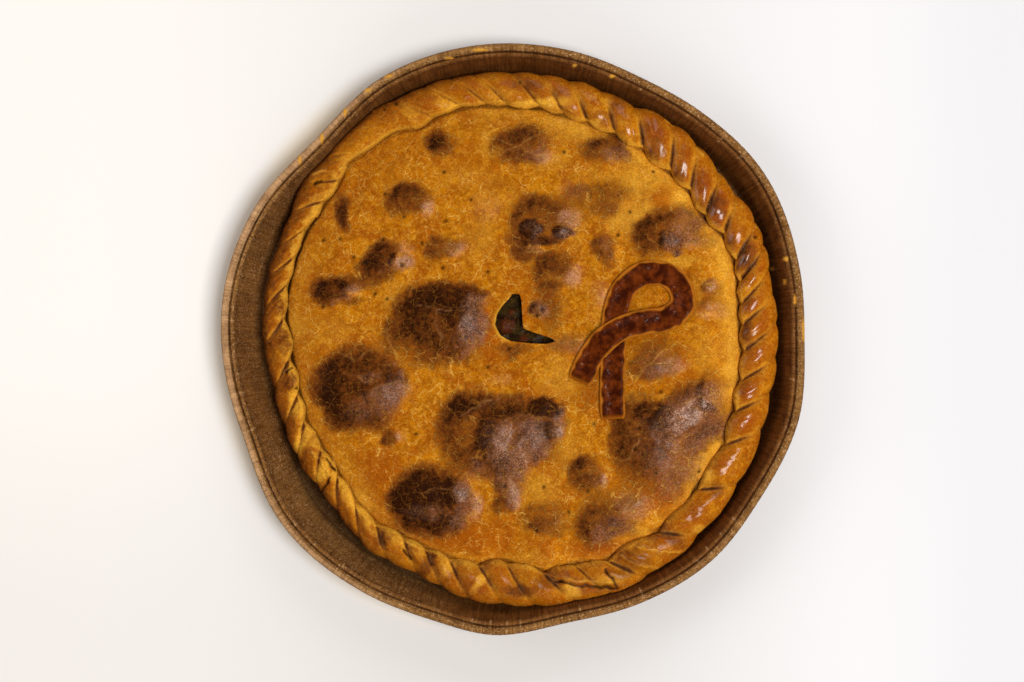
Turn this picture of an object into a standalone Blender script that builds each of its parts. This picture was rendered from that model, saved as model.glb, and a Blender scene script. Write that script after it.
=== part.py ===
"""Octopus empanada: a round two-crust pie baked in its own brown paper mould.

Five pieces: the paper tray, the bottom dough with the twisted rope rim it ends in, the filling,
the blistered lid with its open vent, and a looped ribbon of dough laid on the lid.
Metres, +Z up. The tray stands on z = 0 and its footprint is centred on the origin.
"""

import math

import bmesh
import bpy

# Paper tray
TRAY_HEIGHT = 0.0300
PAPER = 0.0012
BEAD_WIDTH = 0.0052
SHOULDER_WIDTH = 0.0034
WALL_FLARE = math.tan(math.radians(17.0))
TRAY_STEPS = 64
TRAY_OUTLINE = (
    (0, 0.1698), (14, 0.1720), (35, 0.1754), (50, 0.1722), (63, 0.1699), (78, 0.1716),
    (97, 0.1728), (116, 0.1708), (135, 0.1638), (152, 0.1687), (171, 0.1708), (186, 0.1690),
    (200, 0.1667), (218, 0.1718), (239, 0.1707), (254, 0.1697), (266, 0.1727), (281, 0.1676),
    (296, 0.1702), (312, 0.1728), (327, 0.1710), (345, 0.1726),
)

# Pie, measured about its own centre
PIE_CENTRE = (0.0035, 0.0006)
SHEET = 0.0032
LID_THICKNESS = 0.0030
GAP = 0.0004
ROPE_TOP = 0.0282
ROPE_WAIST = 0.0195
GROOVE_DEPTH = 0.0034
GROOVE_SLANT = 6.5
LID_EDGE = 0.0240
LID_DOME = 0.0064
PIE_OUTLINE = (
    (0, 0.1498), (12, 0.1482), (24, 0.1500), (37, 0.1524), (52, 0.1546), (66, 0.1532),
    (82, 0.1552), (96, 0.1560), (112, 0.1552), (128, 0.1530), (143, 0.1552), (154, 0.1530),
    (166, 0.1518), (180, 0.1498), (194, 0.1466), (208, 0.1484), (224, 0.1496), (241, 0.1512),
    (258, 0.1546), (272, 0.1566), (290, 0.1586), (304, 0.1578), (320, 0.1562), (338, 0.1542),
    (350, 0.1514),
)
SEAM_OUTLINE = (
    (0, 0.1312), (14, 0.1300), (26, 0.1318), (40, 0.1330), (54, 0.1338), (66, 0.1352),
    (82, 0.1352), (96, 0.1364), (112, 0.1342), (128, 0.1334), (143, 0.1372), (156, 0.1356),
    (168, 0.1388), (180, 0.1338), (194, 0.1314), (208, 0.1310), (222, 0.1322), (238, 0.1322),
    (252, 0.1318), (266, 0.1316), (282, 0.1352), (294, 0.1374), (308, 0.1382), (322, 0.1378),
    (336, 0.1344), (348, 0.1300),
)

# Grooves between the folds of the rope: angle at the seam and how deep each one is
GROOVES = (
    (1, .8), (5.5, .8), (10.5, 1), (15.5, .9), (20, .8), (24, .7), (28.5, .8), (35, 1), (41.5, .9),
    (48.5, .9), (58, 1), (65, .8), (72.5, .9), (79, .8), (85, .7), (93, .6), (98, .6), (104, .5),
    (111, .4), (122, .15), (131, .15), (138.5, .8), (145, .8), (153, .35), (159, .3), (165, .4),
    (171, .4), (178, .4), (187.5, .45), (198, .45), (206, .4), (216, .45), (225, .5), (232.5, .55),
    (240, .6), (246, .6), (252.5, .7), (260, .7), (267, .6), (276, .9), (284, .7), (292, 1), (306, 1),
    (320, 1), (333, 1), (341.5, .9), (348.5, .9), (355, .9),
)

# Blisters of the lid: centre x, y, half-widths, turn in degrees and height, in millimetres
BLISTERS = (
    (-43, 115.5, 10, 9, 0, 1.4), (5, 114, 20, 13, 0, 2.0), (54, 110, 14, 10, -15, 1.4),
    (-60, 80.5, 15, 10, 0, 1.6), (18, 67, 20, 18, -30, 3.0), (52, 83, 18, 10, 10, 1.4),
    (90, 62, 20, 16, -20, 2.8), (25, 40, 13, 10, 0, 1.6), (-40, 53, 12, 9, 0, 1.5),
    (-75, 46, 15, 13, 0, 2.2), (-101, 28, 15, 9, 10, 2.0), (-45, 9, 31, 25, 15, 3.6),
    (-88, -27, 28, 26, 0, 3.2), (-14, -52, 31, 24, 20, 3.6), (-46, -92, 26, 22, 20, 3.4),
    (87, -58, 33, 30, 20, 4.0), (45, -77, 13, 11, -30, 2.0), (56, -108, 18, 14, 0, 2.2),
    (16, -107, 11, 9, 0, 1.2), (86, -12, 18, 11, 0, 1.0), (23, -40, 10, 8, 0, 2.4),
)
LID_STEPS = 80
LID_RINGS = 17

# Vent cut in the lid, corners in millimetres
VENT = (
    (0.5, 27.4), (4.8, 26.0), (5.3, 6.6), (15.0, 3.4), (25.0, 0.4), (20.5, -2.0), (10.5, -2.6),
    (-2.6, -1.4), (-8.6, 2.4), (-10.6, 9.0), (-8.0, 17.0), (-3.6, 23.0),
)

# Ribbon of dough: centre line in millimetres
RIBBON_WIDTH = 0.0142
RIBBON_THICKNESS = 0.0036
RIBBON_LOOP = (
    (58.0, -44.5), (57.6, -30), (58.0, -12), (58.6, 6), (60.5, 22), (67.5, 33), (79, 37.4),
    (90.5, 36.2), (97.6, 28.6), (95.4, 17.6), (86.0, 11.8), (75.0, 11.0),
)
RIBBON_TAIL = ((80.0, 11.2), (72.0, 10.6), (62.5, 7.2), (52.5, -0.5), (45.0, -12.0), (39.5, -26.0))


def periodic(points, degrees):
    """Smooth closed curve through (angle, value) points."""
    turn = degrees % 360.0
    count = len(points)
    for i in range(count):
        a1, v1 = points[i]
        a2, v2 = points[(i + 1) % count]
        if i == count - 1:
            a2 += 360.0
            if turn < a1:
                turn += 360.0
        if a1 <= turn < a2:
            break
    v0 = points[i - 1][1]
    v3 = points[(i + 2) % count][1]
    t = (turn - a1) / (a2 - a1)
    return 0.5 * (2 * v1 + (v2 - v0) * t + (2 * v0 - 5 * v1 + 4 * v2 - v3) * t * t
                  + (3 * v1 - v0 - 3 * v2 + v3) * t ** 3)


def smoothstep(low, high, value):
    t = min(max((value - low) / (high - low), 0.0), 1.0)
    return t * t * (3 - 2 * t)


def polar(radius, degrees, centre=(0.0, 0.0)):
    a = math.radians(degrees)
    return centre[0] + radius * math.cos(a), centre[1] + radius * math.sin(a)


def tray_inner(degrees, z):
    """Radius of the tray's inner wall at a height."""
    top = periodic(TRAY_OUTLINE, degrees) - BEAD_WIDTH - SHOULDER_WIDTH
    return top - max(0.0, TRAY_HEIGHT - 0.003 - z) * WALL_FLARE


def wall_side(degrees, radius, z):
    """Keeps a point of the pie inside the tray, with a gap."""
    x, y = polar(radius, degrees, PIE_CENTRE)
    limit = tray_inner(math.degrees(math.atan2(y, x)), z) - 3 * GAP
    return radius - max(0.0, math.hypot(x, y) - limit)


def lid_sheet(x, y):
    """Height of the lid without its blisters."""
    dx, dy = x - PIE_CENTRE[0], y - PIE_CENTRE[1]
    r = math.hypot(dx, dy)
    seam = periodic(SEAM_OUTLINE, math.degrees(math.atan2(dy, dx)))
    t = min(r / seam, 1.0)
    return LID_EDGE + LID_DOME * (0.62 * smoothstep(0.0, 0.17, 1 - t) + 0.38 * (1 - t * t))


def lid_top(x, y):
    """Height of the lid with its blisters."""
    z = lid_sheet(x, y)
    for bx, by, rx, ry, turn, high in BLISTERS:
        a = math.radians(turn)
        dx, dy = x * 1000 - bx, y * 1000 - by
        u = (dx * math.cos(a) + dy * math.sin(a)) / rx
        v = (dy * math.cos(a) - dx * math.sin(a)) / ry
        d = math.hypot(u, v)
        if d < 1.0:
            z += high * 0.001 * (1 - d * d) ** 1.5
    return z


def finish_mesh(name, bm, colour, roughness):
    """Makes the object with its own material."""
    bmesh.ops.recalc_face_normals(bm, faces=bm.faces)
    mesh = bpy.data.meshes.new(name)
    bm.to_mesh(mesh)
    bm.free()
    obj = bpy.data.objects.new(name, mesh)
    bpy.context.scene.collection.objects.link(obj)
    material = bpy.data.materials.new(name)
    material.use_nodes = True
    shader = material.node_tree.nodes["Principled BSDF"]
    shader.inputs["Base Color"].default_value = (*colour, 1.0)
    shader.inputs["Roughness"].default_value = roughness
    mesh.materials.append(material)
    return obj


def skin(rings, start=None, end=None, closed=False):
    """Skins a stack of rings; start and end are the middle points of the two end caps."""
    bm = bmesh.new()
    loops = [[bm.verts.new(p) for p in ring] for ring in rings]
    pairs = list(zip(loops, loops[1:]))
    if closed:
        pairs.append((loops[-1], loops[0]))
    for low, high in pairs:
        n = len(low)
        for i in range(n):
            bm.faces.new((low[i], low[(i + 1) % n], high[(i + 1) % n], high[i]))
    for middle, loop in ((start, loops[0]), (end, loops[-1])):
        if middle is not None:
            tip = bm.verts.new(middle)
            for a, b in zip(loop, loop[1:] + loop[:1]):
                bm.faces.new((tip, a, b))
    return bm


def make_tray():
    """Thin flared paper wall that ends in a shoulder, an embossed groove and a rolled bead."""
    bead, top = BEAD_WIDTH, TRAY_HEIGHT
    drop = (top - 0.003) * WALL_FLARE
    shoulder = bead + SHOULDER_WIDTH
    profile = (
        # inset from the outline, height: outside first, from the floor up
        (shoulder + drop + PAPER * 0.4, 0.0),
        (shoulder + drop - PAPER * 0.8, 0.0012),
        (shoulder - PAPER, top - 0.0056),
        (bead * 0.62, top - 0.0060),
        (bead * 0.16, top - 0.0046),
        (0.0, top - 0.0026),
        (bead * 0.16, top - 0.0008),
        (bead * 0.50, top),
        (bead * 0.86, top - 0.0010),
        (bead * 1.10, top - 0.0024),
        (bead * 1.36, top - 0.0012),
        (shoulder - 0.0006, top - 0.0016),
        (shoulder + 0.0004, top - 0.0040),
        (shoulder + drop, PAPER + 0.0012),
        (shoulder + drop + 0.0016, PAPER),
    )
    rings = []
    for inset, z in profile:
        ring = []
        for i in range(TRAY_STEPS):
            degrees = 360.0 * i / TRAY_STEPS
            ring.append((*polar(periodic(TRAY_OUTLINE, degrees) - inset, degrees), z))
        rings.append(ring)
    bm = skin(rings, start=(0, 0, 0), end=(0, 0, PAPER))
    return finish_mesh("tray", bm, (0.16, 0.08, 0.045), 0.75)


def fold_columns():
    """Columns of the rope: angle at the seam, and how far down into a groove the column lies."""
    columns = []
    count = len(GROOVES)
    for i in range(count):
        start, depth = GROOVES[i]
        end, next_depth = GROOVES[(i + 1) % count]
        width = (end - start) % 360.0
        steps = 3 if width < 5.4 else 4 if width < 10.5 else 5
        for k in range(steps):
            t = (k / steps) ** 0.85
            plump = math.sin(math.pi * t) ** 0.6
            reach = depth if t < 0.5 else next_depth
            columns.append((start + width * t, reach * (1 - plump) + 0.12 * reach * t))
    return columns


def make_base():
    """Bottom dough, its side wall and the rope rim that folds over the edge."""
    low = PAPER + GAP
    columns = fold_columns()
    # share of the way from the seam to the outer edge, height, groove depth there, share of scallop
    rope = (
        (0.00, LID_EDGE - 0.0030, 0.0, 0.0),
        (0.05, LID_EDGE + 0.0008, 0.30, 0.0),
        (0.26, ROPE_TOP - 0.0008, 0.85, 0.0),
        (0.50, ROPE_TOP, 1.00, 0.0),
        (0.76, ROPE_TOP - 0.0016, 1.00, 0.2),
        (0.94, ROPE_TOP - 0.0050, 0.70, 0.7),
        (1.00, ROPE_WAIST, 0.0, 1.0),
    )
    rings = []
    for share, z, depth, scallop in rope:
        ring = []
        for seam_angle, dip in columns:
            degrees = seam_angle + GROOVE_SLANT * share
            seam = periodic(SEAM_OUTLINE, degrees)
            outer = periodic(PIE_OUTLINE, degrees) - 0.0022 * dip * scallop
            height = z - GROOVE_DEPTH * dip * depth
            radius = seam + (outer - seam) * share
            if share == 0.05:
                radius += 0.0014 * dip
            radius = wall_side(degrees, radius, height)
            ring.append((*polar(radius, degrees, PIE_CENTRE), height))
        rings.append(ring)
    for inset, z in ((0.0022, 0.0145), (0.0062, 0.0085), (0.0084, 0.0036), (0.0104, low)):
        ring = []
        for seam_angle, dip in columns:
            degrees = seam_angle + GROOVE_SLANT
            radius = wall_side(degrees, periodic(PIE_OUTLINE, degrees) - inset - 0.0008 * dip, z)
            ring.append((*polar(radius, degrees, PIE_CENTRE), z))
        rings.append(ring)
    inner = []
    for inset, z in ((0.0056, low + SHEET), (0.0050, LID_EDGE - 0.0052), (0.0006, LID_EDGE - 0.0044)):
        inner.append([(*polar(periodic(SEAM_OUTLINE, a) - inset, a, PIE_CENTRE), z)
                      for a, _ in columns])
    bm = skin(inner + rings, start=(*PIE_CENTRE, low + SHEET), end=(*PIE_CENTRE, low))
    return finish_mesh("base_crust", bm, (0.42, 0.17, 0.03), 0.42)


def make_filling():
    """Octopus and onion filling, a low drum that fills the pie up to the lid."""
    steps = 48
    low = PAPER + GAP + SHEET + GAP
    rings = []
    for share, z in ((0.985, low), (1.0, low + 0.002), (1.0, LID_EDGE - 0.0062)):
        rings.append([(*polar((periodic(SEAM_OUTLINE, a) - 0.0068) * share, a, PIE_CENTRE), z)
                      for a in (360.0 * i / steps for i in range(steps))])
    for share in (0.90, 0.72, 0.45, 0.2):
        ring = []
        for i in range(steps):
            a = 360.0 * i / steps
            x, y = polar(periodic(SEAM_OUTLINE, a) * share, a, PIE_CENTRE)
            ring.append((x, y, lid_sheet(x, y) - LID_THICKNESS - 2 * GAP))
        rings.append(ring)
    top = lid_sheet(*PIE_CENTRE) - LID_THICKNESS - 2 * GAP
    bm = skin(rings, start=(*PIE_CENTRE, low), end=(*PIE_CENTRE, top))
    return finish_mesh("filling", bm, (0.16, 0.07, 0.02), 0.35)


def make_lid():
    """Domed sheet with its blisters, cut open at the vent."""
    rings = []
    angles = [360.0 * i / LID_STEPS for i in range(LID_STEPS)]

    def ring(share, inset, height):
        points = []
        for a in angles:
            x, y = polar((periodic(SEAM_OUTLINE, a) - GAP) * share - inset, a, PIE_CENTRE)
            points.append((x, y, height(x, y)))
        return points

    def under(x, y):
        return lid_sheet(x, y) - LID_THICKNESS

    for share in (0.30, 0.62, 0.84):
        rings.append(ring(share, 0.0, under))
    rings.append(ring(1.0, 0.0016, lambda x, y: LID_EDGE - 0.0035))
    rings.append(ring(1.0, 0.0, lambda x, y: LID_EDGE - 0.0022))
    rings.append(ring(1.0, 0.0010, lambda x, y: LID_EDGE - 0.0002))
    for k in range(LID_RINGS, 0, -1):
        rings.append(ring(0.965 * k / LID_RINGS, 0.0, lid_top))
    x, y = PIE_CENTRE
    bm = skin(rings, start=(x, y, under(x, y)), end=(x, y, lid_top(x, y)))
    lid = finish_mesh("lid", bm, (0.56, 0.27, 0.035), 0.40)

    bm = bmesh.new()
    floor = [bm.verts.new((vx * 0.001, vy * 0.001, 0.015)) for vx, vy in VENT]
    sides = bmesh.ops.extrude_face_region(bm, geom=[bm.faces.new(floor)])["geom"]
    bmesh.ops.translate(bm, vec=(0, 0, 0.03),
                        verts=[v for v in sides if isinstance(v, bmesh.types.BMVert)])
    cutter = finish_mesh("vent_cutter", bm, (0.5, 0.5, 0.5), 0.5)
    cutter.hide_render = True
    cutter.display_type = "WIRE"
    cut = lid.modifiers.new("vent", "BOOLEAN")
    cut.operation = "DIFFERENCE"
    cut.solver = "EXACT"
    cut.object = cutter
    return lid


def smooth_path(points, steps):
    """Curve through the points, with its direction at every step."""
    padded = [points[0]] + list(points) + [points[-1]]
    path = []
    for i in range(1, len(padded) - 2):
        p0, p1, p2, p3 = padded[i - 1:i + 3]
        for k in range(steps + (i == len(padded) - 3)):
            t = k / steps
            path.append(tuple(
                0.5 * (2 * b + (c - a) * t + (2 * a - 5 * b + 4 * c - d) * t * t
                       + (3 * b - a - 3 * c + d) * t ** 3)
                for a, b, c, d in zip(p0, p1, p2, p3)))
    found = []
    for i, point in enumerate(path):
        before, after = path[max(i - 1, 0)], path[min(i + 1, len(path) - 1)]
        dx, dy = after[0] - before[0], after[1] - before[1]
        size = math.hypot(dx, dy)
        found.append((point, (dx / size, dy / size)))
    return found


def ribbon_solid(name, points, lift, width_scale):
    """A flat-bottomed strip with rounded shoulders that follows the lid."""
    half = RIBBON_WIDTH / 2
    section = ((-0.94, 0.0), (-1.0, 0.34), (-0.84, 0.92), (-0.55, 1.0), (0.0, 0.90), (0.55, 1.0),
               (0.84, 0.92), (1.0, 0.34), (0.94, 0.0))
    path = smooth_path(points, 3)
    rings = []
    for i, ((px, py), (tx, ty)) in enumerate(path):
        share = i / (len(path) - 1)
        ends = width_scale(share)
        ring = []
        for side, up in section:
            x = px * 0.001 - ty * half * side * ends
            y = py * 0.001 + tx * half * side * ends
            foot = lid_sheet(x, y) + 0.0009
            ring.append((x, y, foot + lift(share) + RIBBON_THICKNESS * up * min(ends + 0.1, 1.0)))
        rings.append(ring)
    bm = skin(rings)
    for loop in (rings[0], rings[-1]):
        corners = [min(bm.verts, key=lambda v: (v.co - bmesh_point(p)).length) for p in loop]
        bm.faces.new(corners)
    return finish_mesh(name, bm, (0.13, 0.028, 0.008), 0.28)


def bmesh_point(point):
    from mathutils import Vector
    return Vector(point)


def make_ribbon():
    """Loop whose second tail crosses over the first one and runs on down the lid."""
    def loop_width(share):
        return 0.90 + 0.10 * smoothstep(0.0, 0.06, share) - 0.30 * smoothstep(0.93, 1.0, share)

    def tail_width(share):
        return 0.72 + 0.28 * smoothstep(0.02, 0.30, share) - 0.12 * smoothstep(0.93, 1.0, share)

    def over(share):
        return 0.0022 * smoothstep(0.10, 0.42, share) * (1 - smoothstep(0.62, 0.88, share))

    ribbon = ribbon_solid("ribbon", RIBBON_LOOP, lambda share: 0.0, loop_width)
    tail = ribbon_solid("ribbon_tail", RIBBON_TAIL, over, tail_width)
    tail.hide_render = True
    tail.display_type = "WIRE"
    join = ribbon.modifiers.new("tail", "BOOLEAN")
    join.operation = "UNION"
    join.solver = "EXACT"
    join.object = tail
    return ribbon


def centre_on_tray(tray):
    """Puts the middle of the tray's footprint on the origin."""
    xs = [v.co.x for v in tray.data.vertices]
    ys = [v.co.y for v in tray.data.vertices]
    shift = ((min(xs) + max(xs)) / 2, (min(ys) + max(ys)) / 2)
    for obj in bpy.data.objects:
        for v in obj.data.vertices:
            v.co.x -= shift[0]
            v.co.y -= shift[1]
    return shift


for old in list(bpy.data.objects):
    bpy.data.objects.remove(old, do_unlink=True)
tray_object = make_tray()
make_base()
make_filling()
make_lid()
make_ribbon()
moved = centre_on_tray(tray_object)
print("tray centred by", [round(v * 1000, 3) for v in moved], "mm")
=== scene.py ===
"""Looks of the octopus empanada: blistered egg-washed crust, rope edge, vent and paper mould."""

import math

import bmesh
import bpy
import numpy as np
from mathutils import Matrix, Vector


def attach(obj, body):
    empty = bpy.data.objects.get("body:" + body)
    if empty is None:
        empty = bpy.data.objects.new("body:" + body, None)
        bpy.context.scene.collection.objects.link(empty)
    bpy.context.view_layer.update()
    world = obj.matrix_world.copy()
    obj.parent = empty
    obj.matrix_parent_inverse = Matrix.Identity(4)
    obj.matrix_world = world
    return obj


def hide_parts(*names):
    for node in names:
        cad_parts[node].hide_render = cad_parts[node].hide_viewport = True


bl_info = {
    "name": "Octopus Empanada",
    "version": (1, 0, 0),
    "blender": (4, 5, 0),
    "location": "3D View > Sidebar > Empanada",
    "description": "Builds the crust, filling, dough ribbon and paper mould of a baked pie",
    "category": "Add Mesh",
}

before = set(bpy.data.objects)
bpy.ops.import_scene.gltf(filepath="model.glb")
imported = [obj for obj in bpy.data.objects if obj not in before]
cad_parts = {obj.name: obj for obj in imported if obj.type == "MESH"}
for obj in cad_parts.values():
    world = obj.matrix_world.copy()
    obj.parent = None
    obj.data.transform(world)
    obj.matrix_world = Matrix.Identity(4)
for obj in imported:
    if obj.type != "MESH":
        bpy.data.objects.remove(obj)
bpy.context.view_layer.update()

# The photograph is straight overhead: metres to a pixel at the height of the lid, the pixels of the
# origin, of the pie's middle and of the middle of the picture, and the width of the picture
PIXEL = 0.0005808
ORIGIN_PIXEL = (512.8, 339.3)
PIE_PIXEL = (518.8, 339.0)
CAMERA_PIXEL = (512, 341)
PHOTO_WIDTH = 1024

# Outer edge of the rope and its seam with the lid, in pixels of the photograph
RIM_EDGE = (
    (777, 339), (777, 318), (771, 285), (767, 257), (758, 229), (747, 209), (730, 188), (714, 166),
    (700, 148), (680, 127), (661, 115), (630, 102), (604, 89), (578, 80), (543, 72), (500, 70),
    (465, 73), (435, 80), (404, 93), (373, 108), (343, 132), (322, 155), (299, 181), (292, 203),
    (282, 230), (267, 271), (262, 298), (261, 326), (262, 347), (268, 366), (272, 388), (279, 414),
    (288, 441), (302, 469), (322, 496), (343, 522), (363, 547), (384, 561), (410, 573), (433, 585),
    (463, 600), (501, 606), (540, 608), (568, 607), (600, 601), (622, 597), (634, 589), (655, 573),
    (682, 554), (717, 518), (745, 476), (760, 442), (771, 404), (777, 364),
)
SEAM = (
    (743, 339), (741, 307), (740, 283), (736, 260), (727, 238), (706, 215), (692, 192), (672, 172),
    (657, 159), (642, 147), (617, 134), (592, 123), (562, 113), (536, 106), (512, 105), (488, 104),
    (465, 106), (439, 115), (421, 126), (396, 132), (367, 151), (346, 166), (340, 180), (322, 205),
    (302, 237), (293, 263), (286, 291), (284, 316), (287, 336), (290, 361), (296, 387), (301, 404),
    (305, 421), (321, 447), (339, 477), (351, 496), (374, 522), (404, 538), (424, 548), (447, 558),
    (476, 565), (500, 562), (522, 568), (547, 573), (576, 565), (600, 564), (626, 550), (650, 539),
    (668, 524), (690, 504), (696, 492), (709, 474), (726, 442), (734, 415), (740, 385), (744, 360),
)

# Folds of the rope: angle of each groove at the seam and its depth
GROOVES = (
    (3.6, .8), (9, .8), (14.6, 1), (20, .9), (27.2, .9), (33.6, 1), (41, .9), (48, .9), (57, 1),
    (65, .8), (72.5, .9), (79, .8), (85, .7), (93, .6), (98, .5), (104, .45), (111, .35), (122, .12),
    (131, .12), (138.5, .5), (145, .6), (153, .4), (160, .55), (167, .6), (175, .7), (185, .85),
    (194, .8), (201, .8), (209, .6), (217, .8), (225, .7), (232.5, .7), (240, .75), (246, .75),
    (252.5, .8), (260, .8), (267, .7), (276, .9), (284, .6), (292, .9), (306, .9), (320, .8), (333, .8),
    (341.5, .8), (349.5, .8), (357, .8),
)

# Degrees that a groove turns on its way from the seam to the outer edge, and metres to a degree there
GROOVE_SLANT = 6.5
DEGREE_LENGTH = 0.0025

# Depth of the furrow between lid and rope against the angle
FURROW = (
    (0, .80), (30, .85), (60, .6), (80, .3), (92, .2), (110, .25), (125, .12), (140, .2), (155, .4),
    (170, .35), (185, .40), (196, .3), (206, .25), (214, .3), (226, .15), (240, .25), (255, .35),
    (270, .5), (285, .6), (300, .6), (320, .5), (340, .7),
)

# Strength of the pale margin along the seam against the angle
MARGIN = (
    (0, .80), (30, 1.0), (50, .95), (65, .8), (80, .6), (95, .35), (115, .05), (145, .05), (165, .15),
    (190, .15), (215, .2), (235, .15), (255, .05), (272, .05), (290, .12), (305, .35), (320, .65),
    (340, .90),
)

# How open the seam's crack is against the angle; it is cut a little deeper and painted near black as the
# shade inside it
SEAM_CRACK = (
    (0, .5), (40, .4), (75, .35), (88, .8), (97, .5), (112, .2), (126, .1), (142, .3), (155, 1),
    (180, 1), (194, .8), (205, .3), (215, .4), (226, .15), (238, .2), (255, .25), (268, .5), (285, .3),
    (303, .3), (312, .4), (318, .8), (325, .2), (338, .4), (350, .4),
)

# Blisters of the lid: centre x and y, half-widths and turn in pixels and degrees, height in mm
BLISTERS = (
    (438, 141, 17, 16, 0, 1.1), (520, 146, 37, 22, 8, 1.8), (607, 151, 27, 18, 0, 1.6),
    (411, 201, 26, 19, 0, 1.5), (344, 213, 9, 18, 5, .7), (543, 217, 38, 26, -10, 1.5),
    (530, 230, 11, 9, 0, 1.3), (563, 231, 12, 8, 0, 1.3), (532, 249, 13, 8, -10, .9),
    (601, 199, 34, 18, -8, 1.2), (668, 233, 40, 26, 15, 2.3), (672, 240, 15, 12, 0, 1.2),
    (606, 248, 15, 14, 0, 1.1), (556, 272, 24, 20, 0, 1.4), (445, 249, 21, 15, 5, 1.3),
    (383, 258, 24, 16, 12, 1.6), (402, 262, 13, 12, 0, 1.3), (335, 292, 24, 14, 8, 1.4),
    (353, 288, 17, 8, -12, .8), (437, 322, 55, 42, -12, 3.6), (468, 312, 22, 24, 10, 1.0),
    (361, 386, 49, 44, -14, 3.2), (382, 396, 30, 15, -25, .8), (472, 430, 38, 44, -15, 2.8),
    (514, 440, 40, 36, 0, 2.8), (548, 410, 19, 13, -10, 1.2), (556, 431, 12, 14, 0, 1.3),
    (434, 500, 47, 38, 0, 3.4), (461, 492, 17, 20, 0, 1.2), (648, 440, 44, 48, 0, 3.0),
    (690, 414, 40, 27, 22, 2.6), (708, 404, 14, 10, -30, 1.0), (590, 474, 24, 20, -15, 1.5),
    (600, 527, 28, 25, 10, 1.7), (632, 509, 20, 15, 0, 1.2), (541, 518, 24, 18, 0, 1.1),
    (391, 438, 10, 9, 0, .7), (660, 360, 33, 22, 8, 1.0), (572, 346, 22, 12, 0, .6),
    (713, 287, 12, 9, 0, 1.5), (714, 306, 16, 10, 0, .9), (538, 311, 12, 10, 0, 1.0),
    (506, 500, 14, 22, 8, 1.0), (712, 385, 14, 16, -30, 1.0), (690, 448, 26, 11, 18, .6),
    (596, 296, 14, 14, 0, .8), (480, 205, 26, 20, 0, .5), (530, 368, 30, 16, 0, .5),
    (345, 455, 26, 18, -30, .6), (420, 170, 30, 16, 0, .4), (660, 190, 20, 16, 30, .5),
)
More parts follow.
